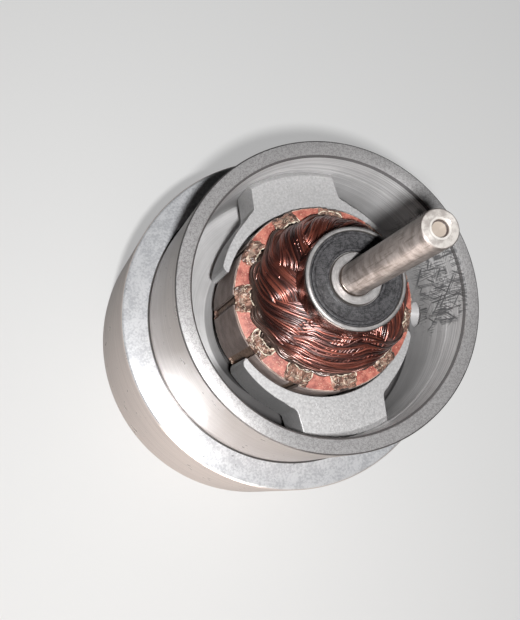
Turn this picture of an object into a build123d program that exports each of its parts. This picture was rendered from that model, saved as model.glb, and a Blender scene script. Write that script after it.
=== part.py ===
from build123d import *
import os
from math import asin, cos, degrees, pi, radians, sin, tan

os.makedirs("parts", exist_ok=True)

# An open two-pole motor: a wound armature standing in its turned housing, front end
# cover and field coils away. Millimetres, +Z along the shaft towards its free end, the
# origin in the middle of the housing's rear face. The poles stand on the Y axis.

# Core, air gap and walls, from the inside out
core_radius = 28.6
air_gap = 0.9
pole_height = 12.85
neck_wall = 5.3
shoulder_width = 9.25
body_wall = 6.4
pole_bore_radius = core_radius + air_gap
bore_radius = pole_bore_radius + pole_height
neck_radius = bore_radius + neck_wall
body_radius = neck_radius + shoulder_width
cavity_radius = body_radius - body_wall

# Housing
body_height = 53.5
neck_height = 46.5
body_chamfer = 0.8
rim_outer_chamfer = 0.5
relief_width = 0.8
relief_depth = 0.4
bore_depth = 44.5
bore_corner = 1.2
register_step = 0.25
register_depth = 11.5
rim_inner_chamfer = 0.7
rim_inner_chamfer_depth = 1.2
floor_thickness = 8.0
floor_hole_chamfer = 3.5
floor_hole_gap = 1.7
rim_z = body_height + neck_height
floor_z = rim_z - bore_depth
floor_underside_z = floor_z - floor_thickness
register_radius = bore_radius + register_step

# Lead hole through the neck's wall
lead_hole_radius = 4.25
lead_hole_depth = 36.0
lead_hole_angle = -9.5
lead_hole_z = rim_z - lead_hole_depth

# Rear cover, set into the back of the housing
cover_recess = 1.0
cover_thickness = 6.0
cover_ledge = 1.5
cover_gap = 0.1
cover_screw_count = 4
cover_screw_radius = 2.0
cover_screw_clear = 0.25
cover_screw_head_radius = 4.0
cover_screw_sink = 0.2
cover_screw_length = 14.0
cover_socket_width = 2.5
cover_socket_depth = 1.4
cover_boss_wall = 3.0
cover_boss_height = 13.0
cover_boss_overlap = 0.5
seat_gap = 0.02
cover_z = cover_recess
ledge_z = cover_recess + cover_thickness
cover_seat_radius = cavity_radius + cover_ledge
cover_radius = cover_seat_radius - cover_gap
cover_boss_radius = cover_screw_radius + cover_boss_wall
cover_boss_offset = cavity_radius + cover_boss_overlap - cover_boss_radius

# Pole pieces
pole_depth = 13.3
pole_length = 17.0
pole_root_width = 28.4
horn_angle = 62.0
horn_root_height = 4.9
horn_middle_height = 3.3
horn_tip_height = 2.3
horn_tip_lead_angle = 2.0
pole_corner = 1.2
pole_back_bevel = 1.6
horn_tip_bevel = 0.8
pole_screw_radius = 2.5
pole_screw_clear = 0.7
pole_screw_head_radius = 6.0
pole_screw_sink = 0.4
pole_screw_bite = 9.0
pole_socket_width = 4.0
pole_socket_depth = 2.4
pole_top_z = rim_z - pole_depth
pole_base_z = pole_top_z - pole_length
pole_middle_z = pole_top_z - pole_length / 2
horn_start_radius = pole_bore_radius + horn_root_height
horn_middle_radius = pole_bore_radius + horn_middle_height
horn_tip_radius = pole_bore_radius + horn_tip_height
horn_start_angle = degrees(asin(pole_root_width / 2 / horn_start_radius))

# Shaft and its sleeves
shaft_radius = 5.0
shaft_end_step = 0.16
shaft_step = 1.5
journal_overrun = 0.5
shaft_rise = 73.9
shaft_end_chamfer = 0.4
centre_hole_radius = 2.05
centre_hole_flare = 0.65
centre_hole_depth = 6.0
sleeve_wall = 1.7
sleeve_gap = 0.4
shaft_tail_gap = 0.5
shaft_core_radius = shaft_radius + shaft_step
shaft_end_radius = shaft_radius - shaft_end_step
sleeve_radius = shaft_core_radius + sleeve_wall
centre_hole_rim_radius = centre_hole_radius + centre_hole_flare
shaft_top_z = rim_z + shaft_rise

# Laminated core and what lies in its slots
core_depth = 8.5
core_length = 26.0
slot_count = 11
slot_phase_angle = 106.5
tooth_width = 5.2
core_back = 8.0
slot_shoulder_depth = 3.4
slot_lip = 1.0
slot_mouth_width = 3.0
slot_corner = 1.0
disc_thickness = 1.1
disc_inset = 0.2
liner_thickness = 0.35
liner_gap = 0.05
liner_reach = 3.0
wedge_depth = 1.9
wedge_reach = 2.4
packing_gap = 0.06
core_top_z = rim_z - core_depth
core_base_z = core_top_z - core_length
slot_bottom_radius = shaft_core_radius + core_back
slot_shoulder_radius = core_radius - slot_shoulder_depth
slot_top_radius = core_radius - slot_lip

# Ball bearings, the same at both ends
bearing_radius = 15.0
bearing_width = 9.0
inner_ring_wall = 2.55
inner_land_step = 0.55
outer_ring_wall = 3.2
seal_seat_wall = 1.25
bearing_edge = 0.5
seal_recess = 1.3
seal_thickness = 0.9
seal_sink = 0.25
seal_gap = 0.12
ball_radius = 2.38
ball_count = 8
ball_gap = 0.05
cage_wall = 1.6
cage_height = 4.4
front_bearing_rise = 11.2
rear_seat_web = 5.0
pocket_wall = 5.0
pocket_gap = 0.02
ball_circle_radius = (shaft_radius + bearing_radius) / 2
inner_face_radius = shaft_radius + inner_ring_wall
inner_land_radius = inner_face_radius + inner_land_step
outer_land_radius = bearing_radius - outer_ring_wall
seal_seat_radius = bearing_radius - seal_seat_wall
front_bearing_z = rim_z + front_bearing_rise
rear_bearing_z = cover_z + rear_seat_web

# Winding: coil heads at both ends, joined through the slots
head_inset = 7.2
head_shoulder_inset = 2.8
head_top_inset = 0.8
head_top_gap = 1.5
head_clearance = 0.5
rear_head_drop = 12.2
leg_radius = 3.4
leg_inset = 7.7
leg_twist_angle = 52.0
leg_top_inset = 0.6
leg_top_drop = 5.0
head_base_radius = core_radius - head_inset
head_shoulder_radius = head_base_radius - head_shoulder_inset
head_top_radius = bearing_radius - head_top_inset
leg_base_radius = core_radius - leg_inset
leg_top_radius = bearing_radius - leg_top_inset
floor_hole_radius = leg_base_radius + leg_radius + floor_hole_gap
rear_head_base_z = core_base_z - rear_head_drop

# Commutator
bar_count = 22
bar_radius = 13.0
bar_depth = 2.6
bar_length = 22.0
bar_gap = 0.5
riser_height = 2.5
riser_length = 2.5
lead_radius = 0.7
lead_length = 5.3
hub_overhang = 1.0
riser_radius = bar_radius + riser_height
commutator_top_z = rear_head_base_z - lead_length
commutator_base_z = commutator_top_z - bar_length

# Brush gear
plate_thickness = 4.0
plate_hole_gap = 6.5
plate_gap = 0.5
plate_screw_inset = 10.5
plate_screw_radius = 2.0
plate_screw_clear = 0.25
plate_screw_head_radius = 3.8
plate_screw_head_height = 2.4
plate_screw_bite = 5.0
plate_screw_slot_width = 0.9
plate_screw_slot_depth = 1.1
hole_end_gap = 1.0
brush_width = 8.0
brush_height = 10.0
brush_length = 13.0
brush_slip = 0.1
brush_air = 0.05
brush_drop = 9.5
box_wall = 1.6
box_standoff = 3.5
box_length = 21.5
cap_thickness = 2.0
cap_nub_length = 1.0
cap_inset = 0.5
cap_corner = 1.0
spring_radius = 2.9
spring_wire_radius = 0.35
spring_turns = 6
plate_hole_radius = riser_radius + plate_hole_gap
plate_screw_offset = cavity_radius - plate_screw_inset
plate_base_z = floor_underside_z - plate_thickness
brush_z = plate_base_z - brush_drop
brush_face_x = bar_radius + brush_air
brush_back_x = brush_face_x + brush_length
box_face_x = bar_radius + box_standoff
box_back_x = box_face_x + box_length


def save(part, name):
    part.label = name
    export_step(part, f"parts/{name}.step")


# Housing

with BuildPart() as housing:
    with BuildSketch(Plane.XZ) as section:
        with BuildLine():
            Polyline(
                (cover_seat_radius, 0),
                (body_radius - body_chamfer, 0),
                (body_radius, body_chamfer),
                (body_radius, body_height - body_chamfer),
                (body_radius - body_chamfer, body_height),
                (neck_radius + relief_width, body_height),
                (neck_radius + relief_width, body_height - relief_depth),
                (neck_radius, body_height - relief_depth),
                (neck_radius, rim_z - rim_outer_chamfer),
                (neck_radius - rim_outer_chamfer, rim_z),
                (register_radius + rim_inner_chamfer, rim_z),
                (register_radius, rim_z - rim_inner_chamfer_depth),
                (register_radius, rim_z - register_depth),
                (bore_radius, rim_z - register_depth - register_step),
                (bore_radius, floor_z),
                (floor_hole_radius + floor_hole_chamfer, floor_z),
                (floor_hole_radius, floor_z - floor_hole_chamfer),
                (floor_hole_radius, floor_underside_z),
                (cavity_radius, floor_underside_z),
                (cavity_radius, ledge_z),
                (cover_seat_radius, ledge_z),
                close=True,
            )
        make_face()
        corner = section.vertices().sort_by_distance((bore_radius, 0, floor_z))[0]
        fillet(corner, radius=bore_corner)
    revolve(axis=Axis.Z)
    with BuildSketch(Plane.XY.offset(ledge_z)):
        with PolarLocations(cover_boss_offset, cover_screw_count, start_angle=45):
            Circle(cover_boss_radius)
    extrude(amount=cover_boss_height)
    with BuildSketch(Plane.XY.offset(ledge_z)):
        with PolarLocations(cover_boss_offset, cover_screw_count, start_angle=45):
            Circle(cover_screw_radius)
    extrude(amount=cover_screw_length - cover_thickness + hole_end_gap, mode=Mode.SUBTRACT)
    with BuildSketch(Plane.XY.offset(floor_underside_z)):
        with PolarLocations(plate_screw_offset, 2, start_angle=90):
            Circle(plate_screw_radius)
    extrude(amount=plate_screw_bite + hole_end_gap, mode=Mode.SUBTRACT)
    for side in (1, -1):
        with Locations(Plane(origin=(0, side * neck_radius, pole_middle_z), z_dir=(0, side, 0))):
            CounterSinkHole(
                radius=pole_screw_radius + pole_screw_clear,
                counter_sink_radius=pole_screw_head_radius + pole_screw_sink + seat_gap,
                counter_sink_angle=90,
                depth=2 * (neck_radius - bore_radius),
            )
    lead_way = (cos(radians(lead_hole_angle)), sin(radians(lead_hole_angle)), 0)
    lead_middle = (neck_radius * lead_way[0], neck_radius * lead_way[1], lead_hole_z)
    with Locations(Plane(origin=lead_middle, z_dir=lead_way)):
        Hole(radius=lead_hole_radius, depth=2 * (neck_radius - bore_radius))
save(housing.part, "housing")


# Pole pieces

def at(radius, angle):
    return (radius * cos(radians(angle)), radius * sin(radians(angle)))


def pole(name, facing):
    root_half = pole_root_width / 2
    start = facing - horn_start_angle
    middle = (horn_start_angle + horn_angle) / 2
    tip = horn_angle + horn_tip_lead_angle
    with BuildPart() as piece:
        with BuildSketch(Plane.XY.offset(pole_base_z)) as outline:
            Circle(bore_radius - seat_gap)
            with Locations((0, 0)):
                Rectangle(pole_root_width, 2 * bore_radius, rotation=facing - 90, mode=Mode.INTERSECT)
            with BuildLine():
                right = ThreePointArc(
                    at(horn_start_radius, start),
                    at(horn_middle_radius, facing - middle),
                    at(horn_tip_radius, facing - horn_angle),
                )
                low = Line(right @ 1, at(pole_bore_radius, facing - tip))
                inner = ThreePointArc(
                    low @ 1,
                    at(pole_bore_radius, facing),
                    at(pole_bore_radius, facing + tip),
                )
                high = Line(inner @ 1, at(horn_tip_radius, facing + horn_angle))
                left = ThreePointArc(
                    high @ 1,
                    at(horn_middle_radius, facing + middle),
                    at(horn_start_radius, facing + horn_start_angle),
                )
                Line(left @ 1, right @ 0)
            make_face()
            Circle(pole_bore_radius, mode=Mode.SUBTRACT)
            with Locations(at(-bore_radius, facing)):
                Rectangle(4 * bore_radius, 2 * bore_radius, rotation=facing - 90, mode=Mode.SUBTRACT)
        extrude(amount=pole_length)
        roots = piece.edges().filter_by(Axis.Z).sort_by(
            lambda e: abs((e @ 0.5 - Vector(0, 0, (e @ 0.5).Z)).length - horn_start_radius)
        )[:2]
        fillet(roots, radius=pole_corner)
        backs = piece.edges().filter_by(GeomType.CIRCLE).filter_by(
            lambda e: abs(e.radius - bore_radius + seat_gap) < 0.001
        )
        chamfer(backs, length=pole_back_bevel)
        tips = piece.edges().filter_by(Axis.Z).filter_by(
            lambda e: abs((e @ 0.5 - Vector(0, 0, (e @ 0.5).Z)).length - horn_tip_radius) < 0.01
        )
        chamfer(tips, length=horn_tip_bevel)
        way = at(1, facing)
        face = (way[0] * bore_radius, way[1] * bore_radius, pole_middle_z)
        with Locations(Plane(origin=face, z_dir=(way[0], way[1], 0))):
            Hole(radius=pole_screw_radius, depth=pole_screw_bite + hole_end_gap)
    save(piece.part, name)


pole("upper_pole", 90)
pole("lower_pole", -90)

with BuildPart() as pole_screws:
    head_depth = pole_screw_head_radius - pole_screw_radius
    for side in (1, -1):
        head_y = side * (neck_radius - pole_screw_sink)
        with Locations(Plane(origin=(0, head_y, pole_middle_z), z_dir=(0, -side, 0))):
            Cone(
                pole_screw_head_radius, pole_screw_radius - seat_gap, head_depth,
                align=(Align.CENTER, Align.CENTER, Align.MIN),
            )
            Cylinder(
                pole_screw_radius - seat_gap, neck_radius - pole_screw_sink - bore_radius + pole_screw_bite,
                align=(Align.CENTER, Align.CENTER, Align.MIN),
            )
    for side in (1, -1):
        head_y = side * (neck_radius - pole_screw_sink)
        with BuildSketch(Plane(origin=(0, head_y, pole_middle_z), z_dir=(0, -side, 0))):
            RegularPolygon(pole_socket_width / 2, 6, major_radius=False)
        extrude(amount=pole_socket_depth, mode=Mode.SUBTRACT)
save(pole_screws.part, "pole_screws")


# Rear cover and its screws

pocket_top_z = rear_bearing_z + bearing_width
with BuildPart() as rear_cover:
    with BuildSketch(Plane.XY.offset(cover_z)):
        Circle(cover_radius)
    extrude(amount=cover_thickness)
    with BuildSketch(Plane.XY.offset(ledge_z)):
        Circle(bearing_radius + pocket_wall)
    extrude(amount=pocket_top_z - ledge_z)
    with BuildSketch(Plane.XY.offset(rear_bearing_z)):
        Circle(bearing_radius + pocket_gap)
    extrude(amount=bearing_width, mode=Mode.SUBTRACT)
    with Locations(Plane(origin=(0, 0, cover_z), z_dir=(0, 0, -1))):
        with PolarLocations(cover_boss_offset, cover_screw_count, start_angle=45):
            CounterSinkHole(
                radius=cover_screw_radius + cover_screw_clear,
                counter_sink_radius=cover_screw_head_radius + cover_screw_sink + seat_gap,
                counter_sink_angle=90,
            )
save(rear_cover.part, "rear_cover")

with BuildPart() as rear_cover_screws:
    with PolarLocations(cover_boss_offset, cover_screw_count, start_angle=45):
        with Locations((0, 0, cover_z + cover_screw_sink)):
            Cone(
                cover_screw_head_radius, cover_screw_radius - seat_gap,
                cover_screw_head_radius - cover_screw_radius,
                align=(Align.CENTER, Align.CENTER, Align.MIN),
            )
            Cylinder(
                cover_screw_radius - seat_gap, cover_screw_length,
                align=(Align.CENTER, Align.CENTER, Align.MIN),
            )
    with BuildSketch(Plane.XY.offset(cover_z + cover_screw_sink)):
        with PolarLocations(cover_boss_offset, cover_screw_count, start_angle=45):
            RegularPolygon(cover_socket_width / 2, 6, major_radius=False)
    extrude(amount=cover_socket_depth, mode=Mode.SUBTRACT)
save(rear_cover_screws.part, "rear_cover_screws")


# Shaft

with BuildPart() as shaft:
    tail_z = rear_bearing_z + shaft_tail_gap
    with BuildSketch(Plane.XZ):
        with BuildLine():
            Polyline(
                (0, tail_z),
                (shaft_radius - shaft_end_chamfer, tail_z),
                (shaft_radius, tail_z + shaft_end_chamfer),
                (shaft_radius, rear_bearing_z + bearing_width),
                (shaft_core_radius, rear_bearing_z + bearing_width),
                (shaft_core_radius, front_bearing_z),
                (shaft_radius, front_bearing_z),
                (shaft_radius, front_bearing_z + bearing_width + journal_overrun),
                (shaft_end_radius, front_bearing_z + bearing_width + journal_overrun),
                (shaft_end_radius, shaft_top_z - shaft_end_chamfer),
                (shaft_end_radius - shaft_end_chamfer, shaft_top_z),
                (centre_hole_rim_radius, shaft_top_z),
                (centre_hole_radius, shaft_top_z - centre_hole_flare),
                (centre_hole_radius, shaft_top_z - centre_hole_depth),
                (0, shaft_top_z - centre_hole_depth),
                close=True,
            )
        make_face()
    revolve(axis=Axis.Z)
save(shaft.part, "shaft")


# Slot outlines, drawn once with the slot pointing along X

tooth_lean = pi / slot_count


def slot_half_width(radius):
    return radius * tan(tooth_lean) - tooth_width / 2 / cos(tooth_lean)


with BuildSketch() as slot_body:
    with BuildLine():
        Polyline(
            (slot_bottom_radius, -slot_half_width(slot_bottom_radius)),
            (slot_shoulder_radius, -slot_half_width(slot_shoulder_radius)),
            (slot_top_radius, -slot_mouth_width / 2),
            (slot_top_radius, slot_mouth_width / 2),
            (slot_shoulder_radius, slot_half_width(slot_shoulder_radius)),
            (slot_bottom_radius, slot_half_width(slot_bottom_radius)),
            close=True,
        )
    make_face()
    fillet(slot_body.vertices().group_by(Axis.X)[:2], radius=slot_corner)

with BuildSketch() as slot_open:
    add(slot_body.sketch)
    with Locations((core_radius, 0)):
        Rectangle(3 * (core_radius - slot_top_radius), slot_mouth_width)

wedge_top_radius = slot_top_radius - liner_thickness - liner_gap
wedge_base_radius = wedge_top_radius - wedge_depth

with BuildSketch() as liner_outline:
    add(slot_body.sketch)
    offset(amount=-liner_gap, kind=Kind.INTERSECTION, mode=Mode.REPLACE)
    with BuildSketch(mode=Mode.PRIVATE) as liner_hole:
        add(slot_body.sketch)
        offset(amount=-liner_gap - liner_thickness, kind=Kind.INTERSECTION, mode=Mode.REPLACE)
    add(liner_hole.sketch, mode=Mode.SUBTRACT)

with BuildSketch() as packing_outline:
    add(slot_body.sketch)
    offset(
        amount=-liner_gap - liner_thickness - packing_gap, kind=Kind.INTERSECTION, mode=Mode.REPLACE
    )

with BuildSketch() as wedge_outline:
    add(packing_outline.sketch)
    with Locations((wedge_base_radius + core_radius / 2, 0)):
        Rectangle(core_radius, core_radius, mode=Mode.INTERSECT)

with BuildSketch() as bar_outline:
    add(packing_outline.sketch)
    with Locations((wedge_base_radius - packing_gap - core_radius / 2, 0)):
        Rectangle(core_radius, core_radius, mode=Mode.INTERSECT)


def slots():
    return PolarLocations(0, slot_count, start_angle=slot_phase_angle)


def stack(name, outline_radius, base_z, height):
    with BuildPart() as piece:
        with BuildSketch(Plane.XY.offset(base_z)):
            Circle(outline_radius)
            Circle(shaft_core_radius + seat_gap, mode=Mode.SUBTRACT)
            with slots():
                add(slot_open.sketch, mode=Mode.SUBTRACT)
        extrude(amount=height)
    save(piece.part, name)


stack("laminated_core", core_radius, core_base_z, core_length)
stack("front_insulator", core_radius - disc_inset, core_top_z, disc_thickness)
stack("rear_insulator", core_radius - disc_inset, core_base_z - disc_thickness, disc_thickness)

with BuildPart() as slot_liners:
    with BuildSketch(Plane.XY.offset(core_base_z - liner_reach)):
        with slots():
            add(liner_outline.sketch)
    extrude(amount=core_length + 2 * liner_reach)
save(slot_liners.part, "slot_liners")

with BuildPart() as slot_wedges:
    with BuildSketch(Plane.XY.offset(core_base_z - wedge_reach)):
        with slots():
            add(wedge_outline.sketch)
    extrude(amount=core_length + 2 * wedge_reach)
save(slot_wedges.part, "slot_wedges")


# Winding

front_head_z = core_top_z + liner_reach + head_clearance
front_head_top_z = front_bearing_z - head_top_gap
rear_head_z = core_base_z - liner_reach - head_clearance


def coil_head(base_z, top_z):
    rise = top_z - base_z
    up = 1 if rise > 0 else -1
    hole = sleeve_radius + sleeve_gap
    with BuildPart() as head:
        with BuildSketch(Plane.XZ):
            with BuildLine():
                bottom = Line((hole, base_z), (head_base_radius, base_z))
                flank = Spline(
                    bottom @ 1,
                    (head_base_radius - 0.8, base_z + 0.35 * rise),
                    (head_shoulder_radius, base_z + 0.7 * rise),
                    (head_top_radius, top_z),
                )
                top = Line(flank @ 1, (hole, top_z))
                Line(top @ 1, bottom @ 0)
            make_face()
        revolve(axis=Axis.Z)
        for number in range(slot_count):
            angle = slot_phase_angle + number * 360 / slot_count
            foot = Vector(*at(leg_base_radius, angle), base_z + up * leg_radius)
            end = Vector(*at(leg_top_radius, angle + leg_twist_angle), top_z - up * leg_top_drop)
            with Locations(Plane(origin=foot, z_dir=end - foot)):
                Cylinder(
                    leg_radius, (end - foot).length,
                    align=(Align.CENTER, Align.CENTER, Align.MIN),
                )
            with Locations(foot, end):
                Sphere(leg_radius)
    return head.part


with BuildPart() as armature_winding:
    with BuildSketch(Plane.XY.offset(rear_head_z)):
        with slots():
            add(bar_outline.sketch)
    extrude(amount=front_head_z - rear_head_z)
    add(coil_head(front_head_z, front_head_top_z))
    add(coil_head(rear_head_z, rear_head_base_z))
save(armature_winding.part, "armature_winding")


# Insulating sleeves on the shaft

def sleeve(name, base_z, top_z):
    with BuildPart() as piece:
        with BuildSketch(Plane.XY.offset(base_z)):
            Circle(sleeve_radius)
            Circle(shaft_core_radius + seat_gap, mode=Mode.SUBTRACT)
        extrude(amount=top_z - base_z)
    save(piece.part, name)


sleeve("front_sleeve", core_top_z + disc_thickness, front_bearing_z)
sleeve("rear_sleeve", commutator_top_z, core_base_z - disc_thickness)


# Commutator

with BuildPart() as commutator_hub:
    with BuildSketch(Plane.XY.offset(commutator_base_z - hub_overhang)):
        Circle(bar_radius - bar_depth - seat_gap)
        Circle(shaft_core_radius + seat_gap, mode=Mode.SUBTRACT)
    extrude(amount=commutator_top_z - commutator_base_z + hub_overhang)
save(commutator_hub.part, "commutator_hub")

with BuildPart() as commutator_bars:
    with BuildSketch(Plane.XZ):
        with BuildLine():
            Polyline(
                (bar_radius - bar_depth, commutator_base_z),
                (bar_radius, commutator_base_z),
                (bar_radius, commutator_top_z - riser_length),
                (riser_radius, commutator_top_z - riser_length),
                (riser_radius, commutator_top_z),
                (bar_radius - bar_depth, commutator_top_z),
                close=True,
            )
        make_face()
    revolve(axis=Axis.Z)
    with BuildSketch(Plane.XY.offset(commutator_base_z)):
        with PolarLocations(riser_radius / 2, bar_count, start_angle=180 / bar_count):
            Rectangle(1.5 * riser_radius, bar_gap)
    extrude(amount=bar_length, mode=Mode.SUBTRACT)
save(commutator_bars.part, "commutator_bars")

with BuildPart() as commutator_leads:
    with BuildSketch(Plane.XY.offset(commutator_top_z + seat_gap)):
        with PolarLocations((bar_radius + riser_radius) / 2, bar_count):
            Circle(lead_radius)
    extrude(amount=rear_head_base_z - commutator_top_z - 2 * seat_gap)
save(commutator_leads.part, "commutator_leads")


# Ball bearings

def bearing(end, base_z):
    top_z = base_z + bearing_width
    middle_z = base_z + bearing_width / 2
    ring_step = outer_land_radius

    with BuildPart() as outer:
        with BuildSketch(Plane.XZ):
            with BuildLine():
                Polyline(
                    (seal_seat_radius, base_z),
                    (bearing_radius - bearing_edge, base_z),
                    (bearing_radius, base_z + bearing_edge),
                    (bearing_radius, top_z - bearing_edge),
                    (bearing_radius - bearing_edge, top_z),
                    (seal_seat_radius, top_z),
                    (seal_seat_radius, top_z - seal_recess),
                    (ring_step, top_z - seal_recess),
                    (ring_step, base_z + seal_recess),
                    (seal_seat_radius, base_z + seal_recess),
                    close=True,
                )
            make_face()
            with Locations((ball_circle_radius, middle_z)):
                Circle(ball_radius + ball_gap, mode=Mode.SUBTRACT)
        revolve(axis=Axis.Z)
    save(outer.part, f"{end}_bearing_outer_ring")

    with BuildPart() as inner:
        with BuildSketch(Plane.XZ):
            with BuildLine():
                Polyline(
                    (shaft_radius + seat_gap, base_z),
                    (inner_face_radius, base_z),
                    (inner_face_radius, base_z + seal_recess),
                    (inner_land_radius, base_z + seal_recess),
                    (inner_land_radius, top_z - seal_recess),
                    (inner_face_radius, top_z - seal_recess),
                    (inner_face_radius, top_z),
                    (shaft_radius + seat_gap, top_z),
                    close=True,
                )
            make_face()
            with Locations((ball_circle_radius, middle_z)):
                Circle(ball_radius + ball_gap, mode=Mode.SUBTRACT)
        revolve(axis=Axis.Z)
    save(inner.part, f"{end}_bearing_inner_ring")

    with BuildPart() as balls:
        with Locations((0, 0, middle_z)):
            with PolarLocations(ball_circle_radius, ball_count):
                Sphere(ball_radius)
    save(balls.part, f"{end}_bearing_balls")

    with BuildPart() as cage:
        with BuildSketch(Plane.XY.offset(middle_z - cage_height / 2)):
            Circle(ball_circle_radius + cage_wall / 2)
            Circle(ball_circle_radius - cage_wall / 2, mode=Mode.SUBTRACT)
        extrude(amount=cage_height)
        with Locations((0, 0, middle_z)):
            with PolarLocations(ball_circle_radius, ball_count):
                Sphere(ball_radius + ball_gap, mode=Mode.SUBTRACT)
    save(cage.part, f"{end}_bearing_cage")

    with BuildPart() as seals:
        for low_z in (base_z + seal_sink, top_z - seal_sink - seal_thickness):
            with BuildSketch(Plane.XY.offset(low_z)):
                Circle(seal_seat_radius - seat_gap)
                Circle(inner_face_radius + seal_gap, mode=Mode.SUBTRACT)
            extrude(amount=seal_thickness)
    save(seals.part, f"{end}_bearing_seals")


bearing("front", front_bearing_z)
bearing("rear", rear_bearing_z)


# Brush gear

with BuildPart() as brush_plate:
    with BuildSketch(Plane.XY.offset(plate_base_z)):
        Circle(cavity_radius - plate_gap)
        Circle(plate_hole_radius, mode=Mode.SUBTRACT)
        with PolarLocations(plate_screw_offset, 2, start_angle=90):
            Circle(plate_screw_radius + plate_screw_clear, mode=Mode.SUBTRACT)
    extrude(amount=plate_thickness)
save(brush_plate.part, "brush_plate")

with BuildPart() as brush_plate_screws:
    with BuildSketch(Plane.XY.offset(plate_base_z - plate_screw_head_height)):
        with PolarLocations(plate_screw_offset, 2, start_angle=90):
            Circle(plate_screw_head_radius)
    extrude(amount=plate_screw_head_height)
    with BuildSketch(Plane.XY.offset(plate_base_z)):
        with PolarLocations(plate_screw_offset, 2, start_angle=90):
            Circle(plate_screw_radius - seat_gap)
    extrude(amount=plate_thickness + plate_screw_bite)
    with BuildSketch(Plane.XY.offset(plate_base_z - plate_screw_head_height)):
        with PolarLocations(plate_screw_offset, 2, start_angle=90):
            Rectangle(2 * plate_screw_head_radius, plate_screw_slot_width)
    extrude(amount=plate_screw_slot_depth, mode=Mode.SUBTRACT)
save(brush_plate_screws.part, "brush_plate_screws")


def brush_gear(side, way):
    """One brush with its box, spring and end cap, on the side that way points to along X."""
    box_middle_x = way * (box_face_x + box_back_x) / 2
    box_low_z = brush_z - brush_height / 2 - brush_slip - box_wall
    slot_width = brush_width + 2 * brush_slip
    slot_height = brush_height + 2 * brush_slip

    with BuildPart() as box:
        with BuildSketch(Plane.XY.offset(box_low_z)):
            with Locations((box_middle_x, 0)):
                Rectangle(box_length, slot_width + 2 * box_wall)
        extrude(amount=plate_base_z - box_low_z)
        with BuildSketch(Plane.YZ.offset(box_middle_x - box_length)):
            with Locations((0, brush_z)):
                Rectangle(slot_width, slot_height)
        extrude(amount=2 * box_length, mode=Mode.SUBTRACT)
    save(box.part, f"{side}_brush_box")

    with BuildPart() as brush:
        with BuildSketch(Plane.XY.offset(brush_z - brush_height / 2)):
            with Locations((way * brush_back_x / 2, 0)):
                Rectangle(brush_back_x, brush_width)
            Circle(brush_face_x, mode=Mode.SUBTRACT)
        extrude(amount=brush_height)
    save(brush.part, f"{side}_brush")

    cap_x = way * box_back_x
    with BuildPart() as cap:
        with BuildSketch(Plane(origin=(cap_x, 0, brush_z), z_dir=(way, 0, 0))):
            RectangleRounded(
                slot_height + 2 * box_wall - 2 * cap_inset,
                slot_width + 2 * box_wall - 2 * cap_inset,
                cap_corner,
            )
        extrude(amount=cap_thickness)
        with BuildSketch(Plane(origin=(cap_x, 0, brush_z), z_dir=(-way, 0, 0))):
            Circle(slot_width / 2 - seat_gap)
        extrude(amount=cap_nub_length)
    save(cap.part, f"{side}_brush_cap")

    spring_start = brush_back_x + spring_wire_radius + seat_gap
    spring_end = box_back_x - cap_nub_length - spring_wire_radius - seat_gap
    with BuildPart() as spring:
        with BuildLine() as coil:
            Helix(
                pitch=(spring_end - spring_start) / spring_turns,
                height=spring_end - spring_start,
                radius=spring_radius,
                center=(way * spring_start, 0, brush_z),
                direction=(way, 0, 0),
            )
        with BuildSketch(Plane(origin=coil.line @ 0, z_dir=coil.line % 0)):
            Circle(spring_wire_radius)
        sweep(is_frenet=True)
    save(spring.part, f"{side}_brush_spring")


brush_gear("left", -1)
brush_gear("right", 1)
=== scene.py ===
import bmesh
import bpy
import math
import numpy as np
from mathutils import Matrix, Vector


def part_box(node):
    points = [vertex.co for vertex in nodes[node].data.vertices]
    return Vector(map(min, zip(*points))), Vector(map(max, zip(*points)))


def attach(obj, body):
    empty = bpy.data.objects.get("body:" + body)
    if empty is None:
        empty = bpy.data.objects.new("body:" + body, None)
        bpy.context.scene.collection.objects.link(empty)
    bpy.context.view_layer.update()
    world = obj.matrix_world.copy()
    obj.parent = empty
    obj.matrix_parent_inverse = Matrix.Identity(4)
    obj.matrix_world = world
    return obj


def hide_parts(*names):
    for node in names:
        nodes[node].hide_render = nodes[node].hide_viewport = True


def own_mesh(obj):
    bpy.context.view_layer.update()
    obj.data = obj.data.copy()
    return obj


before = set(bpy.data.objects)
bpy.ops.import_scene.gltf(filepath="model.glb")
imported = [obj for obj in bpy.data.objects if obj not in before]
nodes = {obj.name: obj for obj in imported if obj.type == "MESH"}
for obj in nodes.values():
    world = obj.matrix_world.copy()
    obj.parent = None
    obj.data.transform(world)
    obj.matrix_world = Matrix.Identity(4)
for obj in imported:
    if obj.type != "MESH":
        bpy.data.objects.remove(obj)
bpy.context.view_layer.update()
mm = 0.001


# Heights and radii that the looks share with the solids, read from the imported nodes

def span(name):
    low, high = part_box(name)
    return low / mm, high / mm


housingLow, housingHigh = span("housing")
coreLow, coreHigh = span("laminated_core")
discLow, discHigh = span("front_insulator")
rearDiscLow, rearDiscHigh = span("rear_insulator")
frontRingLow, frontRingHigh = span("front_bearing_outer_ring")
rearRingLow, rearRingHigh = span("rear_bearing_outer_ring")
shaftLow, shaftHigh = span("shaft")
poleLow, poleHigh = span("upper_pole")
sleeveLow, sleeveHigh = span("front_sleeve")
windingLow, windingHigh = span("armature_winding")
barsLow, barsHigh = span("commutator_bars")
rimZ = housingHigh.z
rng = np.random.default_rng(7)


# Mesh makers

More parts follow.
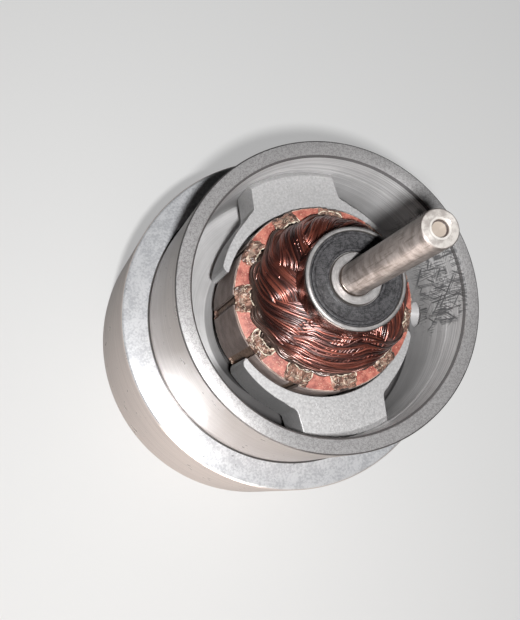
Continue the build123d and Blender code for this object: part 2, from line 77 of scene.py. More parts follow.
def meshObject(name, points, faces, body, smooth=True, sharp=32.0):
    # points is an n by 3 array in millimetres, faces a list of m by 3 or m by 4 arrays
    mesh = bpy.data.meshes.new(name)
    flat = np.concatenate([f.reshape(-1) for f in faces]).astype(np.int32)
    totals = np.concatenate([np.full(len(f), f.shape[1]) for f in faces]).astype(np.int32)
    starts = np.concatenate([[0], np.cumsum(totals)[:-1]]).astype(np.int32)
    mesh.vertices.add(len(points))
    mesh.vertices.foreach_set("co", (np.asarray(points, float) * mm).astype(np.float32).ravel())
    mesh.loops.add(len(flat))
    mesh.loops.foreach_set("vertex_index", flat)
    mesh.polygons.add(len(totals))
    mesh.polygons.foreach_set("loop_start", starts)
    mesh.polygons.foreach_set("loop_total", totals)
    mesh.update(calc_edges=True)
    mesh.polygons.foreach_set("use_smooth", np.full(len(totals), smooth))
    if smooth and sharp:
        mesh.set_sharp_from_angle(angle=math.radians(sharp))
    piece = bpy.data.objects.new(name, mesh)
    bpy.context.scene.collection.objects.link(piece)
    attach(piece, body)
    return piece


def gridFaces(rows, columns, closedRows=False, closedColumns=False, start=0):
    # One quad for each cell between neighbouring rows and columns of a grid of points
    i = np.arange(rows if closedRows else rows - 1)
    j = np.arange(columns if closedColumns else columns - 1)
    i, j = (a.ravel() for a in np.meshgrid(i, j, indexing="ij"))
    i2, j2 = (i + 1) % rows, (j + 1) % columns
    return start + np.stack([i * columns + j, i2 * columns + j, i2 * columns + j2, i * columns + j2], 1)


def mergeDoubles(piece, distance=0.0005, recalc=False):
    work = bmesh.new()
    work.from_mesh(piece.data)
    bmesh.ops.remove_doubles(work, verts=work.verts, dist=distance * mm)
    if recalc:
        bmesh.ops.recalc_face_normals(work, faces=work.faces)
    work.to_mesh(piece.data)
    work.free()


def roundCorners(profile, radius, steps=3):
    # Each corner of a closed outline of (r, z) points becomes a short arc, tangent to both sides
    p = np.asarray(profile, float)
    before, after = np.roll(p, 1, 0) - p, np.roll(p, -1, 0) - p
    la, lb = np.linalg.norm(before, axis=1), np.linalg.norm(after, axis=1)
    cut = np.minimum(radius, 0.45 * np.minimum(la, lb))[:, None]
    a, b = p + before / la[:, None] * cut, p + after / lb[:, None] * cut
    t = np.linspace(0, 1, steps + 1)[None, :, None]
    arc = (1 - t) ** 2 * a[:, None] + 2 * t * (1 - t) * p[:, None] + t ** 2 * b[:, None]
    return arc.reshape(-1, 2)


def turned(name, profile, body, segments=192, edge=0.12, steps=3, sharp=32.0):
    # A closed (r, z) outline, counter-clockwise with r to the right, carried once round the Z axis
    outline = roundCorners(profile, edge, steps) if edge else np.asarray(profile, float)
    angle = np.linspace(0, 2 * np.pi, segments, endpoint=False)[:, None]
    r, z = outline[None, :, 0], outline[None, :, 1]
    points = np.stack([r * np.cos(angle), r * np.sin(angle), z + 0 * angle], -1).reshape(-1, 3)
    faces = gridFaces(segments, len(outline), True, True)
    piece = meshObject(name, points, [faces], body, sharp=None)
    mergeDoubles(piece, recalc=True)
    piece.data.set_sharp_from_angle(angle=math.radians(sharp))
    return piece


def prism(name, outline, low, high, body, bevel=0.0, sharp=32.0):
    # A flat outline of (x, y) points, counter-clockwise, carried straight up from low to high
    p = np.asarray(outline, float)
    n = len(p)
    bottom = np.column_stack([p, np.full(n, low)])
    top = np.column_stack([p, np.full(n, high)])
    i = np.arange(n)
    j = (i + 1) % n
    sides = np.stack([i, j, j + n, i + n], 1)
    piece = meshObject(
        name, np.concatenate([bottom, top]), [sides, i[None, ::-1], (i + n)[None, :]], body, sharp=sharp
    )
    if bevel:
        addBevel(piece, bevel)
    return piece


def addBevel(piece, width, segments=2):
    modifier = piece.modifiers.new("Worn edges", "BEVEL")
    modifier.width = width * mm
    modifier.segments = segments
    modifier.limit_method = "ANGLE"
    modifier.angle_limit = math.radians(35)
    modifier.harden_normals = False


def applyModifiers(piece):
    view = bpy.context.evaluated_depsgraph_get()
    done = bpy.data.meshes.new_from_object(piece.evaluated_get(view))
    piece.modifiers.clear()
    piece.data = done


def cutHole(piece, origin, direction, radius, length, flare=None):
    # A straight round hole, or with flare a countersink, cut through the piece
    work = bmesh.new()
    turn = Vector(direction).to_track_quat("Z", "Y").to_matrix().to_4x4()
    place = Matrix.Translation(Vector(origin) * mm) @ turn
    bmesh.ops.create_cone(
        work, cap_ends=True, segments=72, radius1=radius * mm, radius2=(flare or radius) * mm,
        depth=length * mm, matrix=place,
    )
    mesh = bpy.data.meshes.new("cutter")
    work.to_mesh(mesh)
    work.free()
    cutter = bpy.data.objects.new("cutter", mesh)
    bpy.context.scene.collection.objects.link(cutter)
    modifier = piece.modifiers.new("Hole", "BOOLEAN")
    modifier.operation = "DIFFERENCE"
    modifier.solver = "EXACT"
    modifier.object = cutter
    applyModifiers(piece)
    bpy.data.objects.remove(cutter)


def roundShading(piece, radius, slack=0.1):
    # Shading normals straight out from the axis on a cylinder's faces, which holes cut through it upset
    mesh = piece.data
    corners, faces = len(mesh.loops), len(mesh.polygons)
    normals, slope, middle = np.zeros(corners * 3), np.zeros(faces * 3), np.zeros(faces * 3)
    spots, which, sides = np.zeros(len(mesh.vertices) * 3), np.zeros(corners, int), np.zeros(faces, int)
    mesh.corner_normals.foreach_get("vector", normals)
    mesh.polygons.foreach_get("normal", slope)
    mesh.polygons.foreach_get("center", middle)
    mesh.polygons.foreach_get("loop_total", sides)
    mesh.vertices.foreach_get("co", spots)
    mesh.loops.foreach_get("vertex_index", which)
    normals, slope, middle, spots = (a.reshape(-1, 3) for a in (normals, slope, middle, spots))
    outward = (slope[:, :2] * middle[:, :2]).sum(1) > 0
    near = np.abs(np.linalg.norm(middle[:, :2], axis=1) - radius * mm) < slack * mm
    wall = np.repeat(outward & near & (np.abs(slope[:, 2]) < 0.05), sides)
    out = spots[which] * [1, 1, 0]
    out /= np.maximum(np.linalg.norm(out, axis=1, keepdims=True), 1e-9)
    mesh.normals_split_custom_set(np.where(wall[:, None], out, normals).tolist())


def tubes(name, paths, radius, body, sides=6, uv=None, guide=(0.13, 0.21, 1.0)):
    # paths is strands by points by 3: a ring of sides points round each path point, square to the
    # path. The guide is a direction that no path runs along.
    paths = np.asarray(paths, float)
    strands, count = paths.shape[:2]
    along = np.gradient(paths, axis=1)
    along /= np.linalg.norm(along, axis=2, keepdims=True)
    across = np.cross(along, np.array(guide))
    across /= np.linalg.norm(across, axis=2, keepdims=True)
    lift = np.cross(across, along)
    turn = np.linspace(0, 2 * np.pi, sides, endpoint=False)
    size = np.asarray(radius, float).reshape(-1, 1, 1, 1)
    ring = (
        paths[:, :, None]
        + size * across[:, :, None] * np.cos(turn)[None, None, :, None]
        + size * lift[:, :, None] * np.sin(turn)[None, None, :, None]
    )
    points = ring.reshape(-1, 3)
    base = gridFaces(count, sides, False, True)
    starts = (np.arange(strands) * count * sides)[:, None, None]
    faces = (starts + base[None, :, ::-1]).reshape(-1, 4)
    first = starts[:, 0] + np.arange(sides)[None, :]
    last = first + (count - 1) * sides
    caps = [first, last[:, ::-1]]
    piece = meshObject(name, points, [faces, *caps], body, sharp=None)
    if uv is not None:
        layer = piece.data.uv_layers.new(name="strand")
        t = np.repeat(np.tile(np.linspace(0, 1, count), strands), sides)
        v = np.repeat(np.asarray(uv, float), count * sides)
        index = np.zeros(len(piece.data.loops), np.int32)
        piece.data.loops.foreach_get("vertex_index", index)
        layer.data.foreach_set("uv", np.stack([t[index], v[index]], 1).astype(np.float32).ravel())
    return piece


# Shader helpers and shared effects

def addNode(tree, kind, inputs=None, **settings):
    made = tree.nodes.new(kind)
    for key, value in settings.items():
        setattr(made, key, value)
    for key, value in (inputs or {}).items():
        if isinstance(value, bpy.types.NodeSocket):
            tree.links.new(value, made.inputs[key])
        else:
            made.inputs[key].default_value = value
    return made


def maths(tree, operation, first, second=0.0, third=0.0, clamp=False):
    made = addNode(tree, "ShaderNodeMath", {0: first, 1: second, 2: third}, operation=operation)
    made.use_clamp = clamp
    return made.outputs[0]


def ramp(tree, value, low, high, toLow=0.0, toHigh=1.0):
    # A soft step from low to high
    made = addNode(
        tree, "ShaderNodeMapRange",
        {"Value": value, "From Min": low, "From Max": high, "To Min": toLow, "To Max": toHigh},
        interpolation_type="SMOOTHSTEP",
    )
    return made.outputs["Result"]


def mixColour(tree, share, first, second, blend="MIX"):
    made = addNode(tree, "ShaderNodeMix", data_type="RGBA", blend_type=blend)
    for socket, value in ((0, share), (6, first), (7, second)):
        if isinstance(value, bpy.types.NodeSocket):
            tree.links.new(value, made.inputs[socket])
        else:
            made.inputs[socket].default_value = value if socket == 0 else (*value, 1.0)
    return made.outputs[2]


def startGroup(name, inputs, outputs):
    tree = bpy.data.node_groups.new(name, "ShaderNodeTree")
    for label, value in inputs.items():
        socket = tree.interface.new_socket(label, in_out="INPUT", socket_type="NodeSocketFloat")
        socket.default_value = value
    for label in outputs:
        tree.interface.new_socket(label, in_out="OUTPUT", socket_type="NodeSocketFloat")
    return tree, tree.nodes.new("NodeGroupInput"), tree.nodes.new("NodeGroupOutput")


def placeInMillimetres(tree):
    place = addNode(tree, "ShaderNodeTexCoord").outputs["Object"]
    return addNode(tree, "ShaderNodeVectorMath", {0: place, "Scale": 1000.0}, operation="SCALE").outputs[0]


def makeLatheGroup():
    # Fine rings left by a lathe: noise that hardly changes round the axis and changes fast
    # along radius plus height. Bands are the same rings, ten times as wide.
    tree, given, out = startGroup(
        "Lathe marks", {"Pitch": 3.0, "Around": 1.2, "Band Pitch": 0.35}, ["Rings", "Bands"]
    )
    place = placeInMillimetres(tree)
    parts = addNode(tree, "ShaderNodeSeparateXYZ", {0: place})
    flat = addNode(tree, "ShaderNodeCombineXYZ", {0: parts.outputs[0], 1: parts.outputs[1]}).outputs[0]
    radius = addNode(tree, "ShaderNodeVectorMath", {0: flat}, operation="LENGTH").outputs["Value"]
    way = addNode(tree, "ShaderNodeVectorMath", {0: flat}, operation="NORMALIZE").outputs[0]
    reach = maths(tree, "ADD", radius, parts.outputs[2])
    for label, pitch in (("Rings", "Pitch"), ("Bands", "Band Pitch")):
        turned = addNode(tree, "ShaderNodeVectorMath", {0: way, "Scale": given.outputs["Around"]}, operation="SCALE")
        sides = addNode(tree, "ShaderNodeSeparateXYZ", {0: turned.outputs[0]})
        height = maths(tree, "MULTIPLY", reach, given.outputs[pitch])
        where = addNode(
            tree, "ShaderNodeCombineXYZ", {0: sides.outputs[0], 1: sides.outputs[1], 2: height}
        ).outputs[0]
        noise = addNode(
            tree, "ShaderNodeTexNoise", {"Vector": where, "Scale": 1.0, "Detail": 3.0, "Roughness": 0.6}
        )
        tree.links.new(noise.outputs["Fac"], out.inputs[label])
    return tree


def makeSmudgeGroup():
    # Soft uneven patches and fine grain, the same from every side
    tree, given, out = startGroup("Smudges", {"Patch Size": 9.0, "Grain Size": 0.35}, ["Patches", "Grain"])
    place = placeInMillimetres(tree)
    for label, size, detail in (("Patches", "Patch Size", 4.0), ("Grain", "Grain Size", 2.0)):
        scale = maths(tree, "DIVIDE", 1.0, given.outputs[size])
        noise = addNode(
            tree, "ShaderNodeTexNoise",
            {"Vector": place, "Scale": scale, "Detail": detail, "Roughness": 0.6},
        )
        tree.links.new(noise.outputs["Fac"], out.inputs[label])
    return tree


def makeScratchGroup():
    # Thin straight scratches in two directions: stretched noise, cut near its middle
    tree, given, out = startGroup("Scratches", {"Spacing": 1.2, "Width": 0.03}, ["Scratches"])
    place = placeInMillimetres(tree)
    found = None
    for turn in ((0.3, 0.9, 0.5), (1.9, 0.2, 2.4)):
        turned = addNode(
            tree, "ShaderNodeMapping", {"Vector": place, "Rotation": turn, "Scale": (1.0, 16.0, 1.0)},
            vector_type="TEXTURE",
        ).outputs[0]
        scale = maths(tree, "DIVIDE", 1.0, given.outputs["Spacing"])
        noise = addNode(
            tree, "ShaderNodeTexNoise", {"Vector": turned, "Scale": scale, "Detail": 1.0}
        ).outputs["Fac"]
        off = maths(tree, "ABSOLUTE", maths(tree, "SUBTRACT", noise, 0.5))
        line = maths(tree, "SUBTRACT", 1.0, maths(tree, "DIVIDE", off, given.outputs["Width"]), clamp=True)
        found = line if found is None else maths(tree, "MAXIMUM", found, line)
    tree.links.new(found, out.inputs["Scratches"])
    return tree


def newMaterial(name, base, metallic, roughness, **constants):
    material = bpy.data.materials.new(name)
    material.use_nodes = True
    tree = material.node_tree
    shader = tree.nodes["Principled BSDF"]
    shader.inputs["Base Color"].default_value = (*base, 1.0)
    shader.inputs["Metallic"].default_value = metallic
    shader.inputs["Roughness"].default_value = roughness
    for label, value in constants.items():
        shader.inputs[label.replace("_", " ")].default_value = value
    return material, tree, shader


def useGroup(tree, group, **values):
    made = addNode(tree, "ShaderNodeGroup", node_tree=group)
    for label, value in values.items():
        made.inputs[label.replace("_", " ")].default_value = value
    return made.outputs


def addBump(tree, shader, height, strength, distance):
    bump = addNode(
        tree, "ShaderNodeBump", {"Height": height, "Strength": strength, "Distance": distance * mm}
    )
    tree.links.new(bump.outputs[0], shader.inputs["Normal"])


latheMarks = makeLatheGroup()
smudges = makeSmudgeGroup()
scratches = makeScratchGroup()


def metalMaterial(name, look):
    # A worked metal: base colour between two greys, rings or grain in the bump, patches in the roughness
    material, tree, shader = newMaterial(name, look["colour"], look["metallic"], look["roughness"])
    smudge = useGroup(tree, smudges, Patch_Size=look.get("patch", 9.0), Grain_Size=look.get("grain", 0.3))
    height = smudge["Grain"]
    tint = smudge["Patches"]
    if look.get("rings"):
        rings = useGroup(tree, latheMarks, Pitch=look["pitch"], Band_Pitch=look.get("bandPitch", 0.35))
        height = maths(tree, "ADD", maths(tree, "MULTIPLY", rings["Rings"], look["rings"]), height)
        tint = maths(tree, "MULTIPLY_ADD", rings["Bands"], 0.5, maths(tree, "MULTIPLY", smudge["Patches"], 0.5))
        part = look.get("ringTint", 0.35)
        tint = maths(tree, "MULTIPLY_ADD", rings["Rings"], part, maths(tree, "MULTIPLY", tint, 1 - part))
    share = ramp(tree, tint, 0.35, 0.65)
    colour = mixColour(tree, share, look["darker"], look["colour"])
    rough = maths(tree, "MULTIPLY_ADD", smudge["Patches"], look.get("roughSpread", 0.25), look["roughness"] - 0.12)
    if look.get("scratched"):
        marks = useGroup(tree, scratches, Spacing=look["spacing"], Width=look["width"])["Scratches"]
        weight = maths(tree, "MULTIPLY", marks, look["scratched"])
        colour = mixColour(tree, weight, colour, look["scratchColour"])
        height = maths(tree, "SUBTRACT", height, weight)
    tree.links.new(colour, shader.inputs["Base Color"])
    tree.links.new(rough, shader.inputs["Roughness"])
    addBump(tree, shader, height, look["bump"], look.get("bumpDistance", 0.05))
    return material, tree, shader, colour, height, rough


def dress(piece, material):
    piece.data.materials.clear()
    piece.data.materials.append(material)


def polar(radius, degrees):
    angle = np.radians(degrees)
    return np.stack([radius * np.cos(angle), radius * np.sin(angle)], -1)


print("stage: housing")

# Housing
housingSizes = {
    "rimOuterChamfer": 0.5,
    "bodyHeight": 53.5,
    "neckRadius": 47.65,
    "boreRadius": 42.35,
    "boreDepth": 44.5,
    "registerStep": 0.15,
    "registerDepth": 11.5,
    "rimChamfer": 0.7,
    "rimChamferDepth": 1.2,
    "floorThickness": 8.0,
    "floorHoleRadius": 26.0,
    "floorHoleChamfer": 3.5,
    "cavityRadius": 50.5,
    "coverSeatRadius": 52.0,
    "coverLedge": 7.0,
    "bodyChamfer": 0.8,
    "reliefWidth": 0.55,
    "reliefDepth": 0.9,
    "leadRadius": 4.25,
    "leadAngle": -9.5,
    "leadZ": 64.0,
    "screwZ": 78.2,
    "screwRadius": 3.2,
    "screwHead": 6.42,
}
housingLook = {
    "colour": (0.82, 0.81, 0.81),
    "darker": (0.64, 0.63, 0.63),
    "metallic": 0.45,
    "roughness": 0.42,
    "rings": 1.6,
    "pitch": 2.4,
    "bandPitch": 0.3,
    "bump": 0.35,
    "grain": 0.4,
    "scratched": 0.0,
    "spacing": 3.0,
    "width": 0.010,
    "scratchColour": (0.90, 0.90, 0.90),
    "rimLight": (0.44, 0.43, 0.43),
    "rimDark": (0.30, 0.29, 0.29),
    "shoulderColour": (0.80, 0.81, 0.83),
    "shoulderDark": (0.60, 0.61, 0.635),
    # Side tints: the metal's own tone warmed by painted reflection of warm surroundings
    "neckColourAndReflection": (0.58, 0.535, 0.51),
    "bodyColourAndReflection": (0.74, 0.665, 0.63),
    "boreMetallic": 0.18,
    "otherMetallic": 0.45,
    "sideRoughness": 0.30,
    # Painted shadow low in the bore: its colour and the height it reaches
    "paintedShadowColour": (0.055, 0.052, 0.052),
    "paintedShadowTop": 59.5,
    # Painted shade inside the lead hole
    "holeShadeColour": (0.60, 0.59, 0.59),
    "anisotropic": 0.6,
    # Painted shade in the grooves along the rim and at the neck's foot
    "edgeShadeColour": (0.07, 0.065, 0.065),
    "dullBelow": 84.0,
    "dullTone": 0.66,
    "scrapeAngles": (-22.0, 34.0),
    "scrapeHeights": (62.0, 100.0),
    "scrapeDark": (0.13, 0.13, 0.135),
}


def makeHousing(s):
    bodyRadius = housingHigh.x
    floorZ = rimZ - s["boreDepth"]
    under = floorZ - s["floorThickness"]
    bore, register = s["boreRadius"], s["boreRadius"] + s["registerStep"]
    turn = np.linspace(0, np.pi / 2, 7)[:, None]
    cornerRadius = 1.2
    corner = np.concatenate(
        [
            bore - cornerRadius + cornerRadius * np.cos(turn),
            floorZ + cornerRadius - cornerRadius * np.sin(turn),
        ], 1,
    )
    c = s["bodyChamfer"]
    profile = [
        (s["coverSeatRadius"], 0), (bodyRadius - c, 0), (bodyRadius, c),
        (bodyRadius, s["bodyHeight"] - c), (bodyRadius - c, s["bodyHeight"]),
        (s["neckRadius"] + s["reliefWidth"], s["bodyHeight"]),
        (s["neckRadius"] + s["reliefWidth"], s["bodyHeight"] - s["reliefDepth"]),
        (s["neckRadius"], s["bodyHeight"] - s["reliefDepth"]),
        (s["neckRadius"], rimZ - s["rimOuterChamfer"]),
        (s["neckRadius"] - s["rimOuterChamfer"], rimZ),
        (register + s["rimChamfer"], rimZ), (register, rimZ - s["rimChamferDepth"]),
        (register, rimZ - s["registerDepth"]), (bore, rimZ - s["registerDepth"] - 4 * s["registerStep"]),
        *map(tuple, corner),
        (s["floorHoleRadius"] + s["floorHoleChamfer"], floorZ),
        (s["floorHoleRadius"], floorZ - s["floorHoleChamfer"]),
        (s["floorHoleRadius"], under), (s["cavityRadius"], under),
        (s["cavityRadius"], s["coverLedge"]), (s["coverSeatRadius"], s["coverLedge"]),
    ]
    piece = turned("turnedHousing", profile, "housing", segments=288, edge=0.12, steps=2)
    way = np.append(polar(1.0, s["leadAngle"]), 0)
    cutHole(piece, way * 45.0 + [0, 0, s["leadZ"]], way, s["leadRadius"], 16)
    for side in (1, -1):
        cutHole(piece, (0, side * 45.0, s["screwZ"]), (0, side, 0), s["screwRadius"], 16)
        cutHole(
            piece, (0, side * (s["neckRadius"] - 1.0), s["screwZ"]), (0, side, 0),
            s["screwHead"] - 3.0, 4, s["screwHead"] + 1.0,
        )
    piece.data.set_sharp_from_angle(angle=math.radians(30))
    roundShading(piece, s["neckRadius"])
    return piece


housing = makeHousing(housingSizes)
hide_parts("housing")

print("stage: poles")

# Pole pieces
poleSizes = {
    "backRadius": 42.33,
    "boreRadius": 29.5,
    "rootHalf": 14.2,
    "rootRadius": 34.4,
    "middleRadius": 32.8,
    "tipRadius": 31.8,
    "hornAngle": 62.0,
    "tipLead": 2.0,
    "rootCorner": 1.2,
    "backBevel": 1.6,
    "edge": 0.22,
}
poleLook = {
    "colour": (0.52, 0.515, 0.515),
    "darker": (0.42, 0.415, 0.415),
    "metallic": 0.4,
    "roughness": 0.42,
    "bump": 0.5,
    "grain": 0.5,
    "patch": 0.7,
    "scratched": 0.35,
    "spacing": 1.6,
    "width": 0.012,
    "scratchColour": (0.26, 0.26, 0.265),
}


def makePole(name, facing, s):
    # Half an outline from the middle of the back to the middle of the bore, then its mirror image
    rootAngle = math.degrees(math.asin(s["rootHalf"] / s["backRadius"]))
    back = polar(s["backRadius"], np.linspace(0, rootAngle, 14))
    foot = math.sqrt(s["rootRadius"] ** 2 - s["rootHalf"] ** 2)
    c = s["rootCorner"]
    t = np.linspace(0, 1, 6)[:, None]
    hornWay = polar(s["rootRadius"] - 0.2, math.degrees(math.asin(s["rootHalf"] / s["rootRadius"])) + 3.5)
    start = np.array([foot + c, s["rootHalf"]])
    bend = np.array([foot, s["rootHalf"]])
    corner = (1 - t) ** 2 * start + 2 * t * (1 - t) * bend + t ** 2 * hornWay
    spread = np.linspace(32, s["hornAngle"] - 1.6, 12)
    u = (spread - 28) / (s["hornAngle"] - 28)
    horn = polar(1.0, spread) * (s["rootRadius"] - 0.5 - (s["rootRadius"] - 0.5 - s["tipRadius"]) * u ** 0.85)[:, None]
    tip = np.array([
        polar(s["tipRadius"] - 0.55, s["hornAngle"] + 0.3),
        polar(s["boreRadius"] + 0.5, s["hornAngle"] + s["tipLead"] - 0.3),
        polar(s["boreRadius"], s["hornAngle"] + s["tipLead"] - 1.0),
    ])
    bore = polar(s["boreRadius"], np.linspace(s["hornAngle"] + s["tipLead"] - 3.0, 0, 36))
    half = np.concatenate([back, corner, horn, tip, bore])
    other = half[::-1][1:-1] * [1, -1]
    outline = np.concatenate([half, other])
    a = math.radians(facing)
    outline = outline @ np.array([[math.cos(a), math.sin(a)], [-math.sin(a), math.cos(a)]])
    area = 0.5 * np.sum(outline[:, 0] * np.roll(outline[:, 1], -1) - outline[:, 1] * np.roll(outline[:, 0], -1))
    outline = outline if area > 0 else outline[::-1]
    n = len(outline)
    radius = np.linalg.norm(outline, axis=1)
    isBack = radius > s["backRadius"] - 0.05
    inward = outline * np.where(isBack, (s["backRadius"] - s["backBevel"]) / radius, 1.0)[:, None]
    levels = [(inward, poleLow.z), (outline, poleLow.z + s["backBevel"]), (outline, poleHigh.z - s["backBevel"]), (inward, poleHigh.z)]
    points = np.concatenate([np.column_stack([p, np.full(n, z)]) for p, z in levels])
    i = np.arange(n)
    faces = gridFaces(len(levels), n, False, True)[:, ::-1]
    piece = meshObject(name, points, [faces, i[None, ::-1], (i + 3 * n)[None, :]], "housing", sharp=None)
    addBevel(piece, s["edge"])
    piece.data.set_sharp_from_angle(angle=math.radians(28))
    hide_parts("upper_pole" if facing > 0 else "lower_pole")
    return piece


upperPole = makePole("upperPolePiece", 90, poleSizes)
lowerPole = makePole("lowerPolePiece", -90, poleSizes)

print("stage: core")

# Laminated core, end discs and liners share the slot's outline
slotShape = {
    "count": 11,
    "phase": 106.5,
    "toothWidth": 5.2,
    "bottomRadius": 14.5,
    "shoulderRadius": 25.2,
    "topRadius": 27.6,
    "mouthWidth": 3.0,
}
coreSizes = {"radius": 28.6, "boreRadius": 6.6, "sheetThickness": 0.65, "sheetGap": 0.12, "groove": 0.07}
discSizes = {"inset": 0.25, "ragged": 0.12, "edge": 0.25, "rimHalf": 3.7, "innerHalf": 3.3}


def slotHalfWidth(radius):
    lean = math.pi / slotShape["count"]
    return radius * math.tan(lean) - slotShape["toothWidth"] / 2 / math.cos(lean)


def slotOutline(spread=0.0, each=7):
    # One slot pointing along X, from its mouth side round the bottom and back, as a dense open line
    bottom, shoulder, top = (slotShape[k] for k in ("bottomRadius", "shoulderRadius", "topRadius"))
    corners = np.array([
        (top + spread, slotShape["mouthWidth"] / 2),
        (shoulder + spread * 0.6, slotHalfWidth(shoulder) + spread),
        (bottom - spread, slotHalfWidth(bottom) + spread),
        (bottom - spread, -slotHalfWidth(bottom) - spread),
        (shoulder + spread * 0.6, -slotHalfWidth(shoulder) - spread),
        (top + spread, -slotShape["mouthWidth"] / 2),
    ])
    t = np.linspace(0, 1, each, endpoint=False)[:, None]
    lines = [a + (b - a) * t for a, b in zip(corners[:-1], corners[1:])]
    return np.concatenate([*lines, corners[-1:]])


def turnPoints(points, degrees):
    a = np.radians(degrees)
    return points @ np.array([[np.cos(a), np.sin(a)], [-np.sin(a), np.cos(a)]])


def discSlot(s, each=8):
    # The end disc's own opening: nearly straight sides, as wide at the rim as further in
    bottom = slotShape["bottomRadius"] - 0.1
    corners = np.array([
        (28.0, s["rimHalf"]), (21.0, s["innerHalf"]), (bottom, slotHalfWidth(bottom) + 0.1),
        (bottom, -slotHalfWidth(bottom) - 0.1), (21.0, -s["innerHalf"]), (28.0, -s["rimHalf"]),
    ])
    t = np.linspace(0, 1, each, endpoint=False)[:, None]
    return np.concatenate([*(a + (b - a) * t for a, b in zip(corners[:-1], corners[1:])), corners[-1:]])


def toothedOutline(radius, slot, half, ragged=0.0):
    # Round the core: a tooth tip arc, then down into a slot and up again, eleven times
    step = 360 / slotShape["count"]
    half = math.degrees(math.asin(half / radius))
    slot = slot[::-1]
    line = []
    for number in range(slotShape["count"]):
        centre = slotShape["phase"] + number * step
        arc = polar(radius, centre + np.linspace(half, step - half, 12))
        line += [turnPoints(slot, centre), arc]
    outline = np.concatenate(line)
    if ragged:
        wobble = rng.normal(0, ragged, len(outline))
        outline = outline * (1 + wobble / 40)[:, None]
    return outline


def ringedPrism(name, outline, boreRadius, levels, body, sharp=32.0):
    # Side walls from stacked copies of an outline, each with its own inward shift, closed by caps
    # that reach to a round bore
    n = len(outline)
    length = np.linalg.norm(outline, axis=1, keepdims=True)
    rings = [np.column_stack([outline * (1 - shift / length), np.full(n, z)]) for z, shift in levels]
    angle = np.arctan2(outline[:, 1], outline[:, 0])
    bore = np.stack([boreRadius * np.cos(angle), boreRadius * np.sin(angle)], 1)
    low, high = levels[0][0], levels[-1][0]
    bores = [np.column_stack([bore, np.full(n, high)]), np.column_stack([bore, np.full(n, low)])]
    points = np.concatenate([*rings, *bores])
    faces = gridFaces(len(rings) + 2, n, True, True)[:, ::-1]
    piece = meshObject(name, points, [faces], body, sharp=None)
    mergeDoubles(piece, recalc=False)
    piece.data.set_sharp_from_angle(angle=math.radians(sharp))
    return piece


def makeCore(s):
    levels = []
    count = int(round((coreHigh.z - coreLow.z) / s["sheetThickness"]))
    for number in range(count):
        low = coreLow.z + number * s["sheetThickness"]
        high = low + s["sheetThickness"]
        levels += [(low, s["groove"]), (low + s["sheetGap"], 0.0), (high - s["sheetGap"], 0.0)]
    levels.append((coreHigh.z, s["groove"]))
    outline = toothedOutline(s["radius"], slotOutline(), slotShape["mouthWidth"] / 2)
    return ringedPrism("coreStack", outline, s["boreRadius"], levels, "armature")


core = makeCore(coreSizes)
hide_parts("laminated_core")


def makeDisc(name, low, high, s):
    e = s["edge"]
    outline = toothedOutline(coreSizes["radius"] - s["inset"], discSlot(s), s["rimHalf"], s["ragged"])
    levels = [(low, 0.0), (low + (high - low) * 0.3, 0.0), (high - e * 0.5, 0.03), (high - e * 0.15, e * 0.45), (high, e)]
    return ringedPrism(name, outline, coreSizes["boreRadius"] + 0.1, levels, "armature")


frontDisc = makeDisc("frontEndDisc", discLow.z, discHigh.z, discSizes)
rearDisc = makeDisc("rearEndDisc", rearDiscLow.z, rearDiscHigh.z, discSizes)
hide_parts("front_insulator")
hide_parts("rear_insulator")

# Slot liners: paper tubes whose ends stand out of the slots. The outer side of each leans in over
# the wires, crumpled, with its pale cut edge rolled back.
linerSizes = {
    "innerRadius": 18.5,
    "outerRadius": 28.0,
    "half": 3.75,
    "topHalf": 3.0,
    "topRadius": 24.2,
    "rise": 3.1,
    "secondRise": 1.3,
    "crumple": 0.42,
    "roll": 0.70,
    "thickness": 0.14,
    "rows": 20,
    "around": 102,
}


def plannedLoop(s, half, outerRadius, corner):
    # From the slot's inner end out along one side, round the outer end and back along the other
    turn = np.linspace(-np.pi / 2, 0, 7)
    low = np.stack([outerRadius - corner + corner * np.cos(turn), -half + corner + corner * np.sin(turn)], 1)
    line = np.concatenate([[(s["innerRadius"], -half * 0.75)], low, low[::-1] * [1, -1], [(s["innerRadius"], half * 0.75)]])
    run = np.concatenate([[0], np.cumsum(np.linalg.norm(np.diff(line, axis=0), axis=1))])
    at = np.linspace(0, run[-1], s["around"])
    return np.stack([np.interp(at, run, line[:, k]) for k in (0, 1)], 1)


